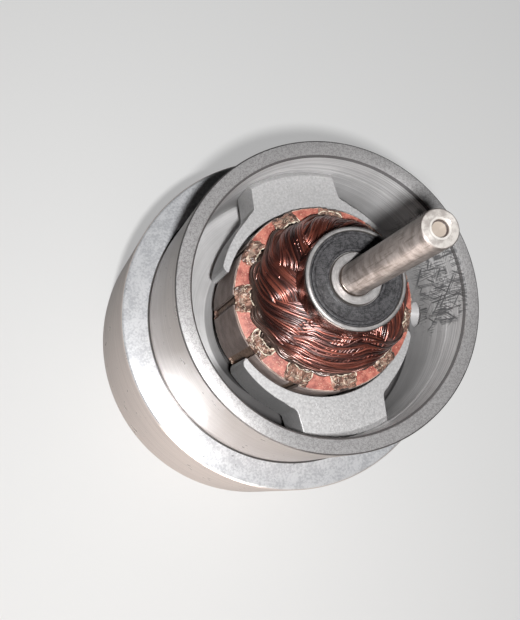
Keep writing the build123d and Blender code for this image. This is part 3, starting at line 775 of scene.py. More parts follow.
def makeLiners(s, name, discZ, up):
    n, rows = s["around"], s["rows"]
    around = np.linspace(0, 1, n)
    v = np.linspace(0, 1, rows)[:, None]
    points, faces, uvs, total = [], [], [], 0
    for number in range(slotShape["count"]):
        for layer in (0, 1):
            seed = rng.uniform(0, 2 * np.pi, 12)
            size = 1.0 if layer == 0 else 0.55
            low = plannedLoop(s, s["half"] + 0.15 * layer, s["outerRadius"] + 0.1 * layer, 0.9)
            topRadius = s["topRadius"] + rng.uniform(-0.6, 0.7)
            high = plannedLoop(s, s["topHalf"] + rng.uniform(-0.4, 0.4) + 0.9 * layer, topRadius + 2.0 * layer, 2.2)
            lift = (s["rise"] if layer == 0 else s["secondRise"]) * rng.uniform(0.75, 1.2)
            front = np.exp(-(((around - 0.5) / 0.28) ** 4))
            tall = lift * (0.45 + 0.55 * front) * (
                1 + 0.22 * np.sin(2 * np.pi * 2 * around + seed[0]) + 0.13 * np.sin(2 * np.pi * 7 * around + seed[1])
            )
            share = v ** 1.15
            xy = low[None] * (1 - share[..., None]) + high[None] * share[..., None]
            z = -0.6 + (tall[None] + 0.6) * v ** 0.85
            side = np.gradient(low, axis=0)
            out = np.stack([side[:, 1], -side[:, 0]], 1)
            out /= np.linalg.norm(out, axis=1, keepdims=True)
            fold = (
                np.sin(2 * np.pi * (5 * around + 0.9 * v) + seed[2])
                + 0.8 * np.sin(2 * np.pi * (11 * around - 1.4 * v) + seed[3])
                + 0.7 * np.sin(2 * np.pi * (3 * around + 2.2 * v) + seed[4])
                + 0.4 * np.sin(2 * np.pi * (19 * around + 2.6 * v) + seed[5])
            )
            sharpFold = np.abs(fold) ** 0.7 * np.sign(fold)
            depth = s["crumple"] * size * np.sin(np.pi * np.clip(v * 0.9 + 0.1, 0, 1)) ** 0.6
            rolled = s["roll"] * size * np.clip((v - 0.86) / 0.14, 0, 1) ** 2
            xy = xy + out[None] * (depth * sharpFold + rolled)[..., None]
            z = z + 0.6 * depth * np.cos(2 * np.pi * (11 * around + 2.9 * v) + seed[6]) * np.minimum(1, 3 * v)
            turned = turnPoints(xy.reshape(-1, 2), slotShape["phase"] + number * 360 / slotShape["count"])
            reach = np.linalg.norm(turned, axis=1, keepdims=True)
            turned *= np.minimum(1.0, 28.45 / reach)
            points.append(np.column_stack([turned, discZ + up * z.reshape(-1)]))
            grid = gridFaces(rows, n, False, False, total)
            faces.append(grid if up > 0 else grid[:, ::-1])
            uvs.append(np.stack([np.tile(around + number, rows), np.repeat(v[:, 0], n)], 1))
            total += rows * n
    piece = meshObject(name, np.concatenate(points), faces, "armature", sharp=None)
    layer = piece.data.uv_layers.new(name="paper")
    index = np.zeros(len(piece.data.loops), np.int32)
    piece.data.loops.foreach_get("vertex_index", index)
    layer.data.foreach_set("uv", np.concatenate(uvs)[index].astype(np.float32).ravel())
    solid = piece.modifiers.new("Paper thickness", "SOLIDIFY")
    solid.thickness = s["thickness"] * mm
    solid.offset = 0
    return piece


liners = makeLiners(linerSizes, "slotPaperFront", discHigh.z, 1)
rearLiners = makeLiners(linerSizes, "slotPaperRear", rearDiscLow.z, -1)
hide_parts("slot_liners")

print("stage: winding")

# Winding: eleven coils, each from one slot round the shaft to the slot five places on. They were
# wound one after another, so that a later coil lies over the ends of the earlier ones.
windingSizes = {
    "wireRadius": 0.33,
    # How much darker the lower layer's wires are: painted shade under the top wires
    "underWireShadow": 0.8,
    "firstSlot": 3,
    "reach": 5,
    "wires": 15,
    "strays": 5,
    "underWires": 10,
    "lastSpread": 0.45,
    "climb": 0.37,
    "lastClimb": 0.26,
    "steps": 58,
    "shortSteps": 40,
    "shortEnd": 0.60,
    "footWidth": 0.15,
    "middleWidth": 0.30,
    "ridge": 0.30,
    "footRidge": 1.9,
    "layer": 0.05,
    "sink": 2.4,
    "outerLeg": 24.9,
    "innerLeg": 19.5,
    "jitter": 0.013,
    "tail": 0.17,
    "tailSteps": 18,
    "tailSink": 0.5,
    "dome": [
        (21.5, 0.0), (22.6, 2.4), (22.9, 6.0), (22.2, 9.4), (20.5, 12.0), (18.0, 13.7), (15.2, 14.8), (12.6, 15.5),
    ],
}


def domePoint(s, climb, scale):
    # Radius and height above the end disc at a share of the way from the foot of the dome to its top
    shape = np.array(s["dome"]) * [1.0, scale]
    run = np.concatenate([[0], np.cumsum(np.linalg.norm(np.diff(shape, axis=0), axis=1))])
    run /= run[-1]
    fine = np.linspace(0, 1, 200)
    smooth = np.stack([np.interp(fine, run, shape[:, k]) for k in (0, 1)], 1)
    kernel = np.ones(25) / 25
    padded = np.pad(smooth, ((12, 12), (0, 0)), mode="reflect", reflect_type="odd")
    smooth = np.stack([np.convolve(padded[:, k], kernel, "valid") for k in (0, 1)], 1)
    slope = np.gradient(smooth, axis=0)
    normal = np.stack([slope[:, 1], -slope[:, 0]], 1)
    normal /= np.linalg.norm(normal, axis=1, keepdims=True)
    c = np.clip(climb, 0, 1.04)
    return [np.interp(c, fine, column) for column in (smooth[:, 0], smooth[:, 1], normal[:, 0], normal[:, 1])]


def coilPaths(s, order, discZ, up, scale, tail=False):
    # One coil's wires as paths. All coils but the last dive under the next ones after half the way
    # and come up again, as a tail, at the slot where they end.
    pitch = 360 / slotShape["count"]
    sweep = pitch * s["reach"]
    start = slotShape["phase"] + (s["firstSlot"] + order) * pitch
    last = order == slotShape["count"] - 1
    late = order / (slotShape["count"] - 1)
    # Points are set closer together near the slots, where the wires bend most
    t = np.linspace(0, 1, s["steps"])
    t = 0.5 - 0.5 * np.sign(1 - 2 * t) * np.abs(1 - 2 * t) ** 0.8
    if tail:
        t = 1 - s["tail"] * np.linspace(0, 1, s["tailSteps"]) ** 1.2
    elif not last:
        t = s["shortEnd"] * np.linspace(0, 1, s["shortSteps"]) ** 1.2
    near = np.minimum(t, 1 - t)
    # The last coil climbs sooner and lies flatter over its middle
    rise = np.clip((near - 0.09) / (s["lastClimb"] if last else s["climb"]), 0, 1)
    rise = rise * rise * (3 - 2 * rise)
    middle = 0.96 - 0.42 * max(0.0, late - 0.75) / 0.25
    # A top layer of wires side by side, a few strays across it and a looser layer underneath
    # The last coils lie spread out wide, with more wires to fill the width
    wide = 1 + s["lastSpread"] * late ** 8 * (0 if tail else 1)
    top, over, under = int(s["wires"] * wide), s["strays"], int(s["underWires"] * wide)
    w = np.concatenate([
        np.linspace(-1, 1, top) + rng.normal(0, 0.018, top), rng.uniform(-0.9, 0.8, over),
        np.linspace(-1.05, 1.05, under) + rng.normal(0, 0.03, under),
    ])[:, None]
    stray = np.concatenate([np.zeros(top), np.ones(over), np.zeros(under)])[:, None]
    deep = np.concatenate([np.zeros(top + over), np.ones(under)])[:, None]
    phase = rng.uniform(0, 2 * np.pi, (len(w), 4))
    width = s["footWidth"] + (s["middleWidth"] * wide - s["footWidth"]) * np.minimum(1, rise * 1.6)
    wander = (
        np.sin(2 * np.pi * 1.7 * t + phase[:, :1]) + 0.6 * np.sin(2 * np.pi * 4.1 * t + phase[:, 1:2])
    ) * s["jitter"] * (1 + stray)
    lean = stray * rng.uniform(-0.5, 0.5, w.shape) * (t - 0.3)
    climb = s["footWidth"] + 0.02 + (middle - s["footWidth"]) * rise + (w + lean) * width + wander
    radius, height, outR, outZ = domePoint(s, climb, scale)
    fat = 1.0 + 0.18 * math.sin(order * 2.4)
    foot = s["footRidge"] * np.exp(-(((near - 0.09) / 0.06) ** 2))
    lift = (s["ridge"] * fat + foot) * np.sqrt(np.clip(1 - w ** 2, 0, 1)) - 0.5 * w + s["layer"] * order
    lift = lift + stray * 0.30 - deep * 0.55 + 0.09 * np.sin(2 * np.pi * 3 * t + phase[:, 2:3]) - 0.7
    lift = lift + np.where(stray + deep > 0, 0.0, rng.normal(0, 0.12, w.shape))
    if tail:
        dive = np.clip((1 - t - 0.07) / 0.10, 0, 1)
        lift = lift - s["tailSink"] - s["sink"] * dive * dive * (3 - 2 * dive)
    elif last:
        lift = lift + 0.5 * np.clip((t - 0.2) / 0.3, 0, 1)
    else:
        dive = np.clip((t - 0.40) / 0.16, 0, 1)
        lift = lift - s["sink"] * dive * dive * (3 - 2 * dive) * (0.4 if late > 0.85 else 1.0)
    radius = radius + lift * outR
    height = height + lift * outZ
    angle = np.radians(start + sweep * t + 0 * w)
    dome = np.stack([radius * np.cos(angle), radius * np.sin(angle), discZ + up * height], -1)
    # Both legs stand in their slots, the first half of the path in one and the rest in the other
    legRadius = (s["outerLeg"] + s["innerLeg"]) / 2 - (s["outerLeg"] - s["innerLeg"]) / 2 * w
    spread = rng.uniform(-5.0, 5.0, w.shape)
    legAngle = np.radians(np.where(t < 0.5, start, start + sweep) + spread)
    legZ = discZ + up * (-2.5 + 75.0 * near + 0 * w)
    leg = np.stack([legRadius * np.cos(legAngle), legRadius * np.sin(legAngle), legZ], -1)
    blend = np.clip(near / 0.075, 0, 1)
    blend = (blend * blend * (3 - 2 * blend))[None, :, None]
    return leg * (1 - blend) + dome * blend, deep[:, 0]


def makeStrands(s, name, discZ, up, scale):
    coils = [coilPaths(s, order, discZ, up, scale) for order in range(slotShape["count"])]
    tails = [coilPaths(s, order, discZ, up, scale, True) for order in range(slotShape["count"] - 1)]
    parts = []
    for label, group in (("", coils[:-1]), ("Last", coils[-1:]), ("Tails", tails)):
        paths, deep = (np.concatenate(column) for column in zip(*group))
        # Lower-layer wires get darker tones: painted shade under the top wires
        tonesWithShadow = rng.uniform(0, 1, len(paths)) * (1 - s["underWireShadow"] * deep)
        parts.append(tubes(name + label, paths, s["wireRadius"], "armature", 6, tonesWithShadow))
    return parts


frontRise = frontRingLow.z - 1.6 - discHigh.z
rearRise = rearDiscLow.z - windingLow.z - 1.0
domeRise = windingSizes["dome"][-1][1]
strands = makeStrands(windingSizes, "frontCoilHead", discHigh.z, 1, frontRise / domeRise)
rearStrands = makeStrands(windingSizes, "rearCoilHead", rearDiscLow.z, -1, rearRise / domeRise)


def makeFiller(name, discZ, up, scale, s):
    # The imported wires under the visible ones: a closed dome a little inside them
    radius, height, outR, outZ = domePoint(s, np.linspace(0, 1, 26), scale)
    radius, height = radius - 1.6 * outR, height - 1.6 * outZ
    inner = sleeveHigh.x + 0.3
    profile = [(inner, discZ), *zip(radius, discZ + up * np.maximum(height, 0.0)), (inner, discZ + up * height[-1])]
    return turned(name, profile if up > 0 else profile[::-1], "armature", 128, 0.0, sharp=50)


frontFiller = makeFiller("frontCoilPacking", discHigh.z, 1, frontRise / domeRise, windingSizes)
rearFiller = makeFiller("rearCoilPacking", rearDiscLow.z, -1, rearRise / domeRise, windingSizes)
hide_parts("armature_winding")

print("stage: shaft and bearings")

# Shaft
shaftSizes = {
    "radius": 5.0,
    "endRadius": 4.84,
    "coreRadius": 6.5,
    "endChamfer": 0.4,
    "holeRadius": 2.05,
    "holeFlare": 0.65,
    "lipHeight": 0.12,
    "holeDepth": 1.0,
    "journalOverrun": 0.5,
}


def makeShaft(s):
    top, low = shaftHigh.z, shaftLow.z
    c = s["endChamfer"]
    journal = frontRingHigh.z + s["journalOverrun"]
    profile = [
        (0, low), (s["radius"] - c, low), (s["radius"], low + c), (s["radius"], rearRingHigh.z),
        (s["coreRadius"], rearRingHigh.z), (s["coreRadius"], frontRingLow.z), (s["radius"], frontRingLow.z),
        (s["radius"], journal), (s["endRadius"], journal), (s["endRadius"], top - c),
        (s["endRadius"] - c, top), (s["holeRadius"] + s["holeFlare"] + 0.35, top),
        (s["holeRadius"] + s["holeFlare"], top - s["lipHeight"]),
        (s["holeRadius"] + 0.15, top - s["lipHeight"]), (s["holeRadius"], top - s["holeDepth"]),
        (0, top - s["holeDepth"] + 0.15),
    ]
    return turned("steelShaft", profile, "armature", 128, 0.07, 2)


shaft = makeShaft(shaftSizes)
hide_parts("shaft")

# Ball bearing rings and seals
bearingSizes = {
    "outerRadius": 15.0,
    "width": 9.0,
    "seatRadius": 13.75,
    "outerLand": 11.8,
    "innerFace": 7.55,
    "innerLand": 8.1,
    "boreRadius": 5.02,
    "recess": 1.3,
    "ballRadius": 2.43,
    "ballCircle": 10.0,
    "edge": 0.55,
    "sealSink": 0.25,
    "sealThickness": 0.9,
    "boreChamfer": 0.45,
}


def grooveArc(fromZ, toZ, side, middle, s, steps=9):
    # The ball track: the part of a circle round the ball's centre that lies in the ring's land
    land = s["outerLand"] if side > 0 else s["innerLand"]
    reach = math.acos(abs(land - s["ballCircle"]) / s["ballRadius"])
    a = np.linspace(reach, -reach, steps) if fromZ > toZ else np.linspace(-reach, reach, steps)
    return [(s["ballCircle"] + side * s["ballRadius"] * math.cos(x), middle + s["ballRadius"] * math.sin(x)) for x in a]


def makeBearing(label, low, bodyOuter, bodyInner, bodySeal, s):
    top, middle = low + s["width"], low + s["width"] / 2
    outer = [
        (s["outerRadius"] - s["edge"], low), (s["outerRadius"], low + s["edge"]),
        (s["outerRadius"], top - s["edge"]), (s["outerRadius"] - s["edge"], top),
        (s["seatRadius"], top), (s["seatRadius"], top - s["recess"]), (s["outerLand"], top - s["recess"]),
        *grooveArc(top, low, 1, middle, s),
        (s["outerLand"], low + s["recess"]), (s["seatRadius"], low + s["recess"]), (s["seatRadius"], low),
    ]
    cut = s["boreChamfer"]
    inner = [
        (s["boreRadius"], low + cut), (s["boreRadius"] + cut, low),
        (s["innerFace"], low), (s["innerFace"], low + s["recess"]),
        (s["innerLand"], low + s["recess"]), *grooveArc(low, top, -1, middle, s),
        (s["innerLand"], top - s["recess"]), (s["innerFace"], top - s["recess"]), (s["innerFace"], top),
        (s["boreRadius"] + cut, top), (s["boreRadius"], top - cut),
    ]
    outerRing = turned(label + "OuterRing", outer, bodyOuter, 160, 0.18, 3)
    innerRing = turned(label + "InnerRing", inner, bodyInner, 128, 0.15, 3)
    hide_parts(label + "_bearing_outer_ring")
    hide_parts(label + "_bearing_inner_ring")
    seals = []
    for side, face in ((1, top), (-1, low)):
        z = face - side * s["sealSink"]
        back = z - side * s["sealThickness"]
        lip = s["innerFace"] + 0.32
        outerEdge = s["seatRadius"] - 0.02
        front = [
            (lip, -0.35), (lip + 0.25, -0.05), (lip + 0.75, -0.05), (lip + 1.0, -0.3),
            (outerEdge - 1.75, -0.3), (outerEdge - 1.5, -0.02), (outerEdge - 0.75, 0.0), (outerEdge - 0.6, -0.75),
            (outerEdge - 0.1, -0.75), (outerEdge, -0.5),
        ]
        line = [(r, z + side * h) for r, h in front]
        line = [*line, (outerEdge, back), (lip, back)]
        seals.append(turned(label + ("FrontSeal" if side > 0 else "RearSeal"), line, bodySeal, 128, 0.1, 2))
    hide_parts(label + "_bearing_seals")
    return outerRing, innerRing, seals


frontBearing = makeBearing("front", frontRingLow.z, "front_race", "armature", "front_race", bearingSizes)
rearBearing = makeBearing("rear", rearRingLow.z, "housing", "armature", "housing", bearingSizes)

# Brush springs: one coil of wire along each imported spring's length
springSizes = {"coilRadius": 2.9, "wireRadius": 0.35, "turns": 6, "travel": 5.0, "steps": 168}


def makeSpring(side, way, s):
    low, high = span(side + "_brush_spring")
    near, far = (high.x, low.x) if way < 0 else (low.x, high.x)
    z = (low.z + high.z) / 2
    t = np.linspace(0, 1, s["steps"])
    angle = 2 * np.pi * s["turns"] * t
    x = near + way * s["wireRadius"] + (far - near - 2 * way * s["wireRadius"]) * t
    path = np.stack([x, s["coilRadius"] * np.cos(angle), z + s["coilRadius"] * np.sin(angle)], -1)
    piece = tubes(side + "SpringCoil", path[None], s["wireRadius"], "housing", 8, guide=(1, 0, 0))
    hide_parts(side + "_brush_spring")
    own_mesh(piece)
    return piece


springs = [makeSpring("left", -1, springSizes), makeSpring("right", 1, springSizes)]

print("stage: materials")

def makeScrapeGroup():
    # Where a tool has chattered on the bore's wall: a soft patch round one side, filled with a
    # hatching of thin dark lines in several directions and broken up by noise
    tree, given, out = startGroup(
        "Scraped patch",
        {"From Angle": -20.0, "To Angle": 30.0, "From Height": 60.0, "To Height": 100.0, "Bore Radius": 43.6},
        ["Patch", "Lines"],
    )
    place = placeInMillimetres(tree)
    parts = addNode(tree, "ShaderNodeSeparateXYZ", {0: place})
    x, y, z = parts.outputs[0], parts.outputs[1], parts.outputs[2]
    angle = maths(tree, "DEGREES", maths(tree, "ARCTAN2", y, x))
    flat = addNode(tree, "ShaderNodeCombineXYZ", {0: x, 1: y}).outputs[0]
    radius = addNode(tree, "ShaderNodeVectorMath", {0: flat}, operation="LENGTH").outputs["Value"]
    edge = addNode(tree, "ShaderNodeTexNoise", {"Vector": place, "Scale": 0.14, "Detail": 4.0}).outputs["Fac"]
    shift = maths(tree, "MULTIPLY", maths(tree, "SUBTRACT", edge, 0.5), 26.0)
    moved = maths(tree, "ADD", angle, shift)
    raised = maths(tree, "ADD", z, shift)
    inside = maths(tree, "LESS_THAN", radius, given.outputs["Bore Radius"])
    rim = maths(tree, "LESS_THAN", z, given.outputs["To Height"])
    patch = maths(tree, "MULTIPLY", inside, rim)
    low = maths(tree, "SUBTRACT", moved, given.outputs["From Angle"])
    high = maths(tree, "SUBTRACT", given.outputs["To Angle"], moved)
    deep = maths(tree, "SUBTRACT", raised, given.outputs["From Height"])
    for value, soft in ((low, 6.0), (high, 8.0), (deep, 10.0)):
        patch = maths(tree, "MULTIPLY", patch, ramp(tree, value, 0.0, soft))
    along = maths(tree, "MULTIPLY", angle, 0.75)
    sheet = addNode(tree, "ShaderNodeCombineXYZ", {0: along, 1: z}).outputs[0]
    lines = None
    for turn, size, thin in ((1.69, 1.10, 0.085), (1.60, 0.95, 0.075), (2.0, 0.85, 0.060), (0.975, 0.70, 0.050)):
        # Straight lines where noise drawn out to nothing crosses its middle, cut to uneven lengths
        laid = [
            addNode(
                tree, "ShaderNodeMapping", {"Vector": sheet, "Rotation": (0, 0, turn), "Scale": (length, 1, 1)},
                vector_type="TEXTURE",
            ).outputs[0]
            for length in (90.0, 5.0)
        ]
        drawn, torn = (
            addNode(tree, "ShaderNodeTexNoise", {"Vector": where, "Scale": scale, "Detail": 0.0}).outputs["Fac"]
            for where, scale in ((laid[0], size), (laid[1], 0.5))
        )
        off = maths(tree, "ABSOLUTE", maths(tree, "SUBTRACT", drawn, 0.5))
        line = maths(tree, "MULTIPLY", ramp(tree, off, thin * 0.3, thin, 1.0, 0.0), ramp(tree, torn, 0.45, 0.52))
        lines = line if lines is None else maths(tree, "MAXIMUM", lines, line)
    breakUp = addNode(tree, "ShaderNodeTexNoise", {"Vector": place, "Scale": 0.16, "Detail": 2.0}).outputs["Fac"]
    lines = maths(tree, "MULTIPLY", lines, ramp(tree, breakUp, 0.30, 0.42))
    tree.links.new(patch, out.inputs["Patch"])
    tree.links.new(maths(tree, "MULTIPLY", lines, patch), out.inputs["Lines"])
    return tree


scrapedPatch = makeScrapeGroup()


def bandMask(tree, value, low, high):
    over = maths(tree, "GREATER_THAN", value, low)
    return maths(tree, "MULTIPLY", over, maths(tree, "LESS_THAN", value, high))


def makeHousingMetal(look):
    # Turned aluminium: a gritty rim, a bright ringed bore, a frosted shoulder, softer sides whose
    # peach and brown tints are painted reflection of warm surroundings over the metal's own tone. The
    # lowest part of the bore, on its lower side, is darkened as painted shadow.
    material, tree, shader, colour, height, rough = metalMaterial("Turned aluminium", look)
    place = placeInMillimetres(tree)
    parts = addNode(tree, "ShaderNodeSeparateXYZ", {0: place})
    z = parts.outputs[2]
    flat = addNode(tree, "ShaderNodeCombineXYZ", {0: parts.outputs[0], 1: parts.outputs[1]}).outputs[0]
    radius = addNode(tree, "ShaderNodeVectorMath", {0: flat}, operation="LENGTH").outputs["Value"]
    neck, shoulderZ = housingSizes["neckRadius"], housingSizes["bodyHeight"]
    rim = ramp(tree, z, rimZ - 0.35, rimZ - 0.2)
    outer = maths(tree, "GREATER_THAN", radius, neck - 0.12)
    side = maths(tree, "MULTIPLY", outer, maths(tree, "SUBTRACT", 1.0, rim))
    wide = maths(tree, "GREATER_THAN", radius, neck + 0.3)
    flatTop = maths(tree, "GREATER_THAN", z, shoulderZ - 0.5)
    frost = useGroup(tree, smudges, Patch_Size=4.5, Grain_Size=0.8)
    frosted = maths(tree, "MULTIPLY_ADD", frost["Grain"], 0.5, maths(tree, "MULTIPLY", frost["Patches"], 0.5))
    shoulder = mixColour(tree, ramp(tree, frosted, 0.40, 0.58), look["shoulderDark"], look["shoulderColour"])
    rings = useGroup(tree, latheMarks, Pitch=1.4, Band_Pitch=0.25)
    tone = ramp(tree, rings["Rings"], 0.36, 0.62, 0.84, 1.0)
    tones = addNode(tree, "ShaderNodeCombineColor", {0: tone, 1: tone, 2: tone}).outputs[0]
    # Peach body and brown neck tints: painted reflection of warm surroundings over the metal's own tone
    body = mixColour(tree, 1.0, look["bodyColourAndReflection"], tones, "MULTIPLY")
    neckToneAndReflection = mixColour(tree, 1.0, look["neckColourAndReflection"], tones, "MULTIPLY")
    wideTone = mixColour(tree, flatTop, body, shoulder)
    # Deeper than the poles the rings fade out and the metal is duller
    fresh = ramp(tree, z, look["dullBelow"] - 14.0, look["dullBelow"])
    ringTone = ramp(tree, rings["Rings"], 0.38, 0.62, 0.80, 1.08)
    ringTone = addNode(tree, "ShaderNodeMix", {0: fresh, 2: look["dullTone"], 3: ringTone}, data_type="FLOAT").outputs[0]
    ringTones = addNode(tree, "ShaderNodeCombineColor", {0: ringTone, 1: ringTone, 2: ringTone}).outputs[0]
    bore = mixColour(tree, 1.0, colour, ringTones, "MULTIPLY")
    base = mixColour(tree, side, bore, mixColour(tree, wide, neckToneAndReflection, wideTone))
    grit = useGroup(tree, smudges, Patch_Size=0.9, Grain_Size=0.35)
    speck = maths(tree, "MULTIPLY_ADD", grit["Grain"], 0.6, maths(tree, "MULTIPLY", grit["Patches"], 0.4))
    gritty = mixColour(tree, ramp(tree, speck, 0.42, 0.56), look["rimDark"], look["rimLight"])
    base = mixColour(tree, rim, base, gritty)
    scrape = useGroup(
        tree, scrapedPatch,
        From_Angle=look["scrapeAngles"][0], To_Angle=look["scrapeAngles"][1],
        From_Height=look["scrapeHeights"][0], To_Height=look["scrapeHeights"][1],
    )
    base = mixColour(tree, maths(tree, "MULTIPLY", scrape["Lines"], 0.9), base, look["scrapeDark"])
    way = np.append(polar(1.0, housingSizes["leadAngle"]), 0)
    fromHole = addNode(tree, "ShaderNodeVectorMath", {0: place, 1: (0, 0, housingSizes["leadZ"])}, operation="SUBTRACT")
    along = addNode(tree, "ShaderNodeVectorMath", {0: fromHole.outputs[0], 1: way}, operation="CROSS_PRODUCT")
    apart = addNode(tree, "ShaderNodeVectorMath", {0: along.outputs[0]}, operation="LENGTH").outputs["Value"]
    # Painted shade in the thin groove at the neck's foot and along both edges of the rim
    foot = bandMask(tree, z, shoulderZ - 1.0, shoulderZ - 0.03)
    foot = maths(tree, "MULTIPLY", foot, bandMask(tree, radius, neck - 0.1, neck + housingSizes["reliefWidth"] + 0.05))
    brink = maths(tree, "MULTIPLY", bandMask(tree, z, rimZ - 0.5, rimZ - 0.1), maths(tree, "GREATER_THAN", radius, neck - 0.5))
    mouth = maths(tree, "MULTIPLY", bandMask(tree, z, rimZ - 1.2, rimZ - 0.25), maths(tree, "LESS_THAN", radius, neck - 3.0))
    edges = maths(tree, "MAXIMUM", foot, maths(tree, "MAXIMUM", brink, mouth))
    base = mixColour(tree, maths(tree, "MULTIPLY", edges, 0.9), base, look["edgeShadeColour"])
    # The lead hole's wall is darker: painted shade inside the hole
    hole = maths(tree, "LESS_THAN", apart, housingSizes["leadRadius"] + 0.06)
    hole = maths(tree, "MULTIPLY", hole, maths(tree, "GREATER_THAN", parts.outputs[0], 30.0))
    base = mixColour(tree, hole, base, look["holeShadeColour"])
    # Painted shadow: towards its lower side the bore's lowest part turns near black
    deep = ramp(tree, z, look["paintedShadowTop"] - 1.5, look["paintedShadowTop"], 1.0, 0.0)
    inside = maths(tree, "LESS_THAN", radius, neck - 2.0)
    deep = maths(tree, "MULTIPLY", maths(tree, "MULTIPLY", deep, inside), ramp(tree, parts.outputs[1], -14.0, -6.0, 1.0, 0.0))
    base = mixColour(tree, maths(tree, "MULTIPLY", deep, 0.93), base, look["paintedShadowColour"])
    smoothRough = maths(tree, "MULTIPLY_ADD", frost["Patches"], 0.14, look["sideRoughness"] - 0.07)
    mixed = addNode(tree, "ShaderNodeMix", {0: side, 2: rough, 3: smoothRough}, data_type="FLOAT").outputs[0]
    calm = maths(tree, "MAXIMUM", fresh, maths(tree, "MAXIMUM", side, 0.2))
    dug = maths(tree, "MULTIPLY", height, calm)
    dug = maths(tree, "SUBTRACT", dug, maths(tree, "MULTIPLY", scrape["Lines"], 2.0))
    dug = maths(tree, "ADD", dug, maths(tree, "MULTIPLY", rim, maths(tree, "MULTIPLY", speck, 2.4)))
    tree.links.new(base, shader.inputs["Base Color"])
    tree.links.new(mixed, shader.inputs["Roughness"])
    below = maths(tree, "MULTIPLY", inside, maths(tree, "SUBTRACT", 1.0, rim))
    sheen = addNode(tree, "ShaderNodeMix", {0: below, 2: look["otherMetallic"], 3: look["boreMetallic"]}, data_type="FLOAT")
    tree.links.new(sheen.outputs[0], shader.inputs["Metallic"])
    shader.inputs["Anisotropic"].default_value = look["anisotropic"]
    shader.inputs["Anisotropic Rotation"].default_value = 0.25
    addBump(tree, shader, dug, look["bump"], 0.05)
    return material


turnedMetal = makeHousingMetal(housingLook)
coverMetal, *_ = metalMaterial("Cast cover metal", housingLook)
poleMetal, *_ = metalMaterial("Pole iron", poleLook)
coreMetal, *_ = metalMaterial("Core sheets", {
    "colour": (0.32, 0.255, 0.23), "darker": (0.21, 0.165, 0.15), "metallic": 0.3, "roughness": 0.5,
    "bump": 0.3, "grain": 0.4, "patch": 4.0,
})
shaftLook = {
    "colour": (0.50, 0.445, 0.42), "darker": (0.28, 0.24, 0.22), "metallic": 0.8, "roughness": 0.34,
    "rings": 0.04, "ringTint": 0.10, "pitch": 2.5, "bump": 0.2, "grain": 0.35, "patch": 2.6,
    "streaks": 0.45, "streakColour": (0.13, 0.105, 0.09), "seamColour": (0.09, 0.055, 0.035),
    "scratched": 0.35, "spacing": 1.2, "width": 0.014, "scratchColour": (0.20, 0.17, 0.155),
}


def makeShaftSteel(look):
    # Brown-tinged ground steel, a paler faced-off end and a dull beige floor in its centre hole, with
    # painted shade on the hole's wall
    material, tree, shader, colour, height, rough = metalMaterial("Shaft steel", look)
    place = placeInMillimetres(tree)
    parts = addNode(tree, "ShaderNodeSeparateXYZ", {0: place})
    flat = addNode(tree, "ShaderNodeCombineXYZ", {0: parts.outputs[0], 1: parts.outputs[1]}).outputs[0]
    radius = addNode(tree, "ShaderNodeVectorMath", {0: flat}, operation="LENGTH").outputs["Value"]
    end = ramp(tree, parts.outputs[2], shaftHigh.z - 0.30, shaftHigh.z - 0.15)
    hollow = maths(tree, "LESS_THAN", radius, shaftSizes["holeRadius"] + 0.1)
    deepEnd = maths(tree, "GREATER_THAN", parts.outputs[2], shaftHigh.z - 2.0)
    hollow = maths(tree, "MULTIPLY", hollow, deepEnd)
    end = maths(tree, "MAXIMUM", end, hollow)
    smudge = useGroup(tree, smudges, Patch_Size=1.6, Grain_Size=0.25)
    endWearAndShade = mixColour(tree, ramp(tree, smudge["Patches"], 0.38, 0.62), (0.34, 0.31, 0.29), (0.52, 0.49, 0.46))
    lip = maths(tree, "LESS_THAN", maths(tree, "ABSOLUTE", maths(tree, "SUBTRACT", radius, 2.45)), 0.24)
    endWearAndShade = mixColour(tree, maths(tree, "MULTIPLY", lip, 0.5), endWearAndShade, (0.74, 0.71, 0.67))
    endWearAndShade = mixColour(tree, hollow, endWearAndShade, (0.27, 0.23, 0.195))
    # A dark band on the centre hole's wall: painted shade
    wall = maths(tree, "LESS_THAN", maths(tree, "ABSOLUTE", maths(tree, "SUBTRACT", radius, 1.98)), 0.16)
    endWearAndShade = mixColour(tree, maths(tree, "MULTIPLY", wall, hollow), endWearAndShade, (0.07, 0.055, 0.05))
    # Streaks along the shaft, and a brown line where it enters the bearing
    drawn = addNode(tree, "ShaderNodeVectorMath", {0: place, 1: (1.0, 1.0, 0.05)}, operation="MULTIPLY").outputs[0]
    streak = addNode(tree, "ShaderNodeTexNoise", {"Vector": drawn, "Scale": 1.7, "Detail": 3.0}).outputs["Fac"]
    streak = maths(tree, "MULTIPLY", ramp(tree, streak, 0.54, 0.66), look["streaks"])
    colour = mixColour(tree, streak, colour, look["streakColour"])
    seam = ramp(tree, parts.outputs[2], frontRingHigh.z + 0.25, frontRingHigh.z + 0.8, 0.85, 0.0)
    colour = mixColour(tree, seam, colour, look["seamColour"])
    tree.links.new(mixColour(tree, end, colour, endWearAndShade), shader.inputs["Base Color"])
    sheen = ramp(tree, end, 0.0, 1.0, look["metallic"], 0.35)
    tree.links.new(maths(tree, "MULTIPLY", sheen, maths(tree, "SUBTRACT", 1.0, hollow)), shader.inputs["Metallic"])
    shader.inputs["Anisotropic"].default_value = 0.75
    shader.inputs["Anisotropic Rotation"].default_value = 0.25
    return material


shaftMetal = makeShaftSteel(shaftLook)
bearingLook = {
    "colour": (0.50, 0.485, 0.48), "darker": (0.31, 0.30, 0.295), "metallic": 0.55, "roughness": 0.36,
    "rings": 0.6, "pitch": 5.0, "bump": 0.16, "grain": 0.3, "patch": 1.6,
    "scratched": 0.4, "spacing": 0.8, "width": 0.016, "scratchColour": (0.25, 0.235, 0.23),
}


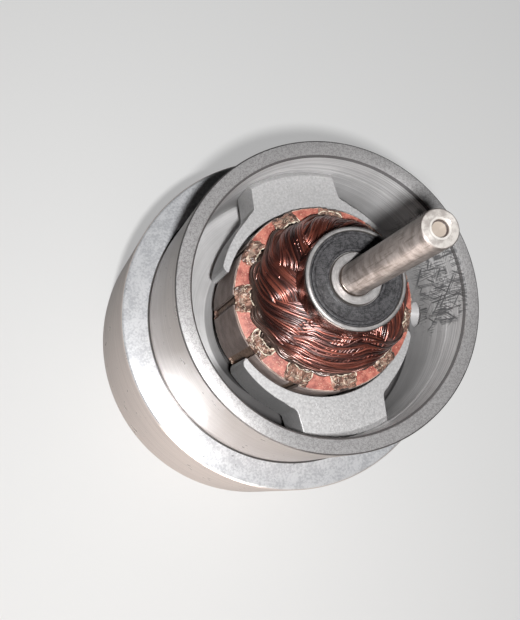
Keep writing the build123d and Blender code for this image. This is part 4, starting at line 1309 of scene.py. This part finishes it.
def makeRingSteel(look):
    # Ground faces, and a polished outer side that mirrors what lies round it, its colour darkened
    # brown as a painted reflection of the winding. Dark lines where the rings meet the seals are painted shade.
    material, tree, shader, colour, height, rough = metalMaterial("Bearing steel", look)
    place = placeInMillimetres(tree)
    parts = addNode(tree, "ShaderNodeSeparateXYZ", {0: place})
    flat = addNode(tree, "ShaderNodeCombineXYZ", {0: parts.outputs[0], 1: parts.outputs[1]}).outputs[0]
    radius = addNode(tree, "ShaderNodeVectorMath", {0: flat}, operation="LENGTH").outputs["Value"]
    side = ramp(tree, radius, bearingSizes["outerRadius"] - 0.25, bearingSizes["outerRadius"] - 0.10)
    # The polished outer side is darker and browner: painted reflection of the winding beside it
    colour = mixColour(tree, side, colour, (0.34, 0.30, 0.285))
    # Dark lines where each ring meets its seal: painted shade in the gaps
    for at, reach in ((bearingSizes["innerFace"], 0.22), (bearingSizes["seatRadius"], 0.20)):
        off = maths(tree, "ABSOLUTE", maths(tree, "SUBTRACT", radius, at))
        colour = mixColour(tree, ramp(tree, off, reach * 0.6, reach, 0.75, 0.0), colour, (0.09, 0.075, 0.065))
    tree.links.new(colour, shader.inputs["Base Color"])
    polished = addNode(tree, "ShaderNodeMix", {0: side, 2: rough, 3: 0.14}, data_type="FLOAT").outputs[0]
    tree.links.new(polished, shader.inputs["Roughness"])
    tree.links.new(ramp(tree, side, 0.0, 1.0, look["metallic"], 1.0), shader.inputs["Metallic"])
    return material


ringSteel = makeRingSteel(bearingLook)
brass, *_ = metalMaterial("Brass", {
    "colour": (0.68, 0.50, 0.22), "darker": (0.45, 0.32, 0.14), "metallic": 1.0, "roughness": 0.35,
    "bump": 0.15, "grain": 0.3,
})
springMetal, *_ = metalMaterial("Spring steel", {
    "colour": (0.42, 0.42, 0.43), "darker": (0.25, 0.25, 0.26), "metallic": 0.9, "roughness": 0.35,
    "bump": 0.15, "grain": 0.3,
})
copper, *_ = metalMaterial("Bar copper", {
    "colour": (0.75, 0.36, 0.22), "darker": (0.42, 0.20, 0.13), "metallic": 1.0, "roughness": 0.32,
    "rings": 1.0, "pitch": 4.0, "bump": 0.2, "grain": 0.3,
})
screwSteel, *_ = metalMaterial("Blackened screw steel", {
    "colour": (0.20, 0.20, 0.21), "darker": (0.08, 0.08, 0.085), "metallic": 0.9, "roughness": 0.4,
    "bump": 0.2, "grain": 0.3,
})


def plainMaterial(name, colour, darker, roughness, patch=4.0, grain=0.3, bump=0.25):
    material, tree, shader = newMaterial(name, colour, 0.0, roughness)
    smudge = useGroup(tree, smudges, Patch_Size=patch, Grain_Size=grain)
    mixed = maths(tree, "MULTIPLY_ADD", smudge["Grain"], 0.45, maths(tree, "MULTIPLY", smudge["Patches"], 0.55))
    tone = mixColour(tree, ramp(tree, mixed, 0.38, 0.62), darker, colour)
    tree.links.new(tone, shader.inputs["Base Color"])
    addBump(tree, shader, smudge["Grain"], bump, 0.06)
    return material, tree, shader


def makeDiscFibre():
    # Red insulating fibre: mottled, with a pale line along the rim, partly the fibre's own pale edge
    # and partly painted highlight
    material, tree, shader = newMaterial("End disc fibre", (0.62, 0.19, 0.14), 0.0, 0.5)
    smudge = useGroup(tree, smudges, Patch_Size=2.4, Grain_Size=0.5)
    tone = mixColour(tree, ramp(tree, smudge["Patches"], 0.34, 0.66), (0.24, 0.055, 0.042), (0.50, 0.17, 0.125))
    tone = mixColour(tree, ramp(tree, smudge["Grain"], 0.56, 0.70), tone, (0.56, 0.31, 0.22))
    place = placeInMillimetres(tree)
    parts = addNode(tree, "ShaderNodeSeparateXYZ", {0: place})
    flat = addNode(tree, "ShaderNodeCombineXYZ", {0: parts.outputs[0], 1: parts.outputs[1]}).outputs[0]
    radius = addNode(tree, "ShaderNodeVectorMath", {0: flat}, operation="LENGTH").outputs["Value"]
    # The pale line along the rim: partly the fibre's own pale edge, partly painted highlight
    wavy = maths(tree, "MULTIPLY_ADD", smudge["Patches"], 0.5, maths(tree, "SUBTRACT", radius, 0.25))
    rim = ramp(tree, wavy, coreSizes["radius"] - 0.50, coreSizes["radius"] - 0.32)
    tone = mixColour(tree, maths(tree, "MULTIPLY", rim, 0.8), tone, (0.60, 0.48, 0.40))
    tree.links.new(tone, shader.inputs["Base Color"])
    addBump(tree, shader, smudge["Grain"], 0.45, 0.09)
    return material


discFibre = makeDiscFibre()
sealRubber, *_ = plainMaterial("Seal rubber", (0.066, 0.064, 0.068), (0.012, 0.012, 0.013), 0.45, 1.0, 0.35, 1.0)
wedgeFibre, *_ = plainMaterial("Wedge fibre", (0.33, 0.225, 0.17), (0.12, 0.08, 0.06), 0.5, 1.2, 0.4, 0.5)
blackPlastic, *_ = plainMaterial("Moulded plastic", (0.035, 0.03, 0.03), (0.02, 0.018, 0.018), 0.5, 8.0, 0.3)
carbon, *_ = plainMaterial("Brush carbon", (0.03, 0.03, 0.032), (0.015, 0.015, 0.016), 0.55, 3.0, 0.2)


def makePaper():
    # Crumpled varnished paper: brown and pink stains, thin pale creases, thin dark lines of painted
    # shade along creases and a pale cut edge
    material, tree, shader = newMaterial("Slot paper", (0.40, 0.28, 0.19), 0.0, 0.34)
    smudge = useGroup(tree, smudges, Patch_Size=2.6, Grain_Size=0.25)
    uv = addNode(tree, "ShaderNodeUVMap", uv_map="paper").outputs[0]
    parts = addNode(tree, "ShaderNodeSeparateXYZ", {0: uv})
    edge = ramp(tree, parts.outputs[1], 0.87, 0.93)
    stain = ramp(tree, smudge["Patches"], 0.40, 0.60)
    body = mixColour(tree, stain, (0.10, 0.055, 0.042), (0.36, 0.20, 0.15))
    place = placeInMillimetres(tree)
    # Pale creases, then dark ones: the dark lines are painted shade along creases
    for seed, scale, colour, width in ((0.0, 0.36, (0.60, 0.49, 0.38), 0.022), (7.3, 0.42, (0.04, 0.024, 0.02), 0.024)):
        moved = addNode(tree, "ShaderNodeVectorMath", {0: place, 1: (seed, seed, seed)}, operation="ADD").outputs[0]
        noise = addNode(tree, "ShaderNodeTexNoise", {"Vector": moved, "Scale": scale, "Detail": 2.0}).outputs["Fac"]
        off = maths(tree, "ABSOLUTE", maths(tree, "SUBTRACT", noise, 0.5))
        crease = ramp(tree, off, width * 0.4, width, 0.75, 0.0)
        body = mixColour(tree, crease, body, colour)
    colour = mixColour(tree, edge, body, (0.68, 0.59, 0.47))
    tree.links.new(colour, shader.inputs["Base Color"])
    addBump(tree, shader, smudge["Grain"], 0.3, 0.08)
    return material


def makeEnamel():
    # Dark red enamel over copper: each wire its own tone, the lower layer's wires darker as painted
    # shade under the top wires, dull and dusty at the foot of the coils
    material, tree, shader = newMaterial(
        "Enamelled copper", (0.22, 0.06, 0.04), 0.85, 0.42, Coat_Weight=1.0, Coat_Roughness=0.32, Coat_IOR=1.8
    )
    uv = addNode(tree, "ShaderNodeUVMap", uv_map="strand").outputs[0]
    parts = addNode(tree, "ShaderNodeSeparateXYZ", {0: uv})
    shade = mixColour(tree, parts.outputs[1], (0.03, 0.008, 0.008), (0.50, 0.135, 0.085))
    smudge = useGroup(tree, smudges, Patch_Size=5.0, Grain_Size=0.6)
    colour = mixColour(tree, ramp(tree, smudge["Patches"], 0.45, 0.7), shade, (0.16, 0.04, 0.03))
    place = placeInMillimetres(tree)
    height = addNode(tree, "ShaderNodeSeparateXYZ", {0: place}).outputs[2]
    wavy = maths(tree, "MULTIPLY_ADD", smudge["Patches"], 6.0, height)
    foot = ramp(tree, wavy, discHigh.z + 7.5, discHigh.z + 12.5, 1.0, 0.0)
    dust = mixColour(tree, maths(tree, "MULTIPLY", foot, 0.85), colour, (0.16, 0.115, 0.095))
    rough = maths(tree, "MULTIPLY_ADD", foot, 0.12, 0.42)
    tree.links.new(dust, shader.inputs["Base Color"])
    tree.links.new(rough, shader.inputs["Roughness"])
    return material


paper = makePaper()
enamel = makeEnamel()
packing, *_ = plainMaterial("Coil packing", (0.10, 0.025, 0.02), (0.04, 0.012, 0.01), 0.5, 2.0, 0.4)

dress(housing, turnedMetal)
for piece in (upperPole, lowerPole):
    dress(piece, poleMetal)
dress(core, coreMetal)
for piece in (frontDisc, rearDisc):
    dress(piece, discFibre)
for piece in (liners, rearLiners):
    dress(piece, paper)
for piece in (*strands, *rearStrands):
    dress(piece, enamel)
for piece in (frontFiller, rearFiller):
    dress(piece, packing)
dress(shaft, shaftMetal)
for piece in springs:
    dress(piece, springMetal)
for rings in (frontBearing, rearBearing):
    dress(rings[0], ringSteel)
    dress(rings[1], ringSteel)
    for seal in rings[2]:
        dress(seal, sealRubber)

kept = {
    "front_bearing_balls": ringSteel, "rear_bearing_balls": ringSteel,
    "front_bearing_cage": brass, "rear_bearing_cage": brass,
    "rear_cover": coverMetal, "slot_wedges": wedgeFibre,
    "front_sleeve": blackPlastic, "rear_sleeve": blackPlastic, "commutator_hub": blackPlastic,
    "commutator_bars": copper, "commutator_leads": copper,
    "pole_screws": screwSteel, "rear_cover_screws": screwSteel, "brush_plate_screws": screwSteel,
    "left_brush": carbon, "right_brush": carbon, "left_brush_box": brass, "right_brush_box": brass,
    "left_brush_cap": blackPlastic, "right_brush_cap": blackPlastic, "brush_plate": blackPlastic,
}
for name, material in kept.items():
    dress(nodes[name], material)

print("stage: studio")

# Floor, light and camera
studio = {
    "floor": (0.34, 0.34, 0.335),
    "floorGlow": 0.42,
    "floorHalf": 3.0,
    "world": 0.015,
    "backdrop": 0.68,
    "keyPlace": (-0.092, -0.056, 0.372),
    "keyAim": (-0.01, 0.0, 0.09),
    "keySize": 0.016,
    "keyPower": 1.38,
    "sidePlace": (-0.20, -0.30, 0.045),
    "sideAim": (-0.02, -0.02, 0.04),
    "sideSize": (0.30, 0.08),
    "sidePower": 1.0,
    "sideTint": (1.0, 0.91, 0.85),
}


def makeFloor():
    half = studio["floorHalf"] * 1000
    points = np.array([(-half, -half, 0), (half, -half, 0), (half, half, 0), (-half, half, 0)], float)
    mesh = bpy.data.meshes.new("floor")
    mesh.from_pydata((points * mm).tolist(), [], [(0, 1, 2, 3)])
    floor = bpy.data.objects.new("floor", mesh)
    bpy.context.scene.collection.objects.link(floor)
    material, tree, shader = newMaterial("Pale floor", studio["floor"], 0.0, 0.7)
    # The camera alone sees the floor a little brighter, as a pale paper lit from behind
    seen = addNode(tree, "ShaderNodeLightPath").outputs["Is Camera Ray"]
    tree.links.new(maths(tree, "MULTIPLY", seen, studio["floorGlow"]), shader.inputs["Emission Strength"])
    shader.inputs["Emission Color"].default_value = (1, 1, 1, 1)
    mesh.materials.append(material)


def aim(lamp, place, target):
    lamp.location = place
    lamp.rotation_euler = (Vector(target) - Vector(place)).to_track_quat("-Z", "Y").to_euler()


def addLamp(name, place, target, size, power):
    data = bpy.data.lights.new(name, "AREA")
    data.shape = "DISK"
    data.size = size
    data.energy = power
    lamp = bpy.data.objects.new(name, data)
    bpy.context.scene.collection.objects.link(lamp)
    aim(lamp, place, target)
    lamp.visible_camera = False
    return data


def makeCamera():
    # The photograph's own view: where it was taken from, which way it looked and how it was held
    data = bpy.data.cameras.new("photoCamera")
    focalPixels, sidePixels, sensor = 996.9, 620, 36.0
    data.sensor_width = sensor
    data.lens = focalPixels * sensor / sidePixels
    data.shift_x = 20 / sidePixels
    data.shift_y = -40 / sidePixels
    data.clip_start = 0.01
    camera = bpy.data.objects.new("photoCamera", data)
    bpy.context.scene.collection.objects.link(camera)
    forward = Vector((0.2786, 0.1723, -0.9448)).normalized()
    right = Vector((0.9490, -0.2008, 0.2432))
    right = (right - forward * right.dot(forward)).normalized()
    above = right.cross(forward).normalized()
    turn = Matrix((right, above, -forward)).transposed().to_4x4()
    camera.matrix_world = Matrix.Translation(Vector((-107.7, -39.0, 374.5)) * mm) @ turn
    bpy.context.scene.camera = camera


def makeWorld():
    world = bpy.data.worlds.new("studioWorld")
    bpy.context.scene.world = world
    world.use_nodes = True
    background = world.node_tree.nodes["Background"]
    background.inputs["Color"].default_value = (1, 1, 1, 1)
    # Only the camera sees the backdrop as pale as the floor
    seen = addNode(world.node_tree, "ShaderNodeLightPath").outputs["Is Camera Ray"]
    strength = maths(world.node_tree, "MULTIPLY_ADD", seen, studio["backdrop"], studio["world"])
    world.node_tree.links.new(strength, background.inputs["Strength"])


makeFloor()
makeWorld()
makeCamera()
addLamp("keyLamp", studio["keyPlace"], studio["keyAim"], studio["keySize"], studio["keyPower"])
sideLamp = addLamp("sideLamp", studio["sidePlace"], studio["sideAim"], studio["sideSize"][0], studio["sidePower"])
sideLamp.shape = "RECTANGLE"
sideLamp.size_y = studio["sideSize"][1]
sideLamp.color = studio["sideTint"]
bpy.context.scene.view_settings.view_transform = "Standard"
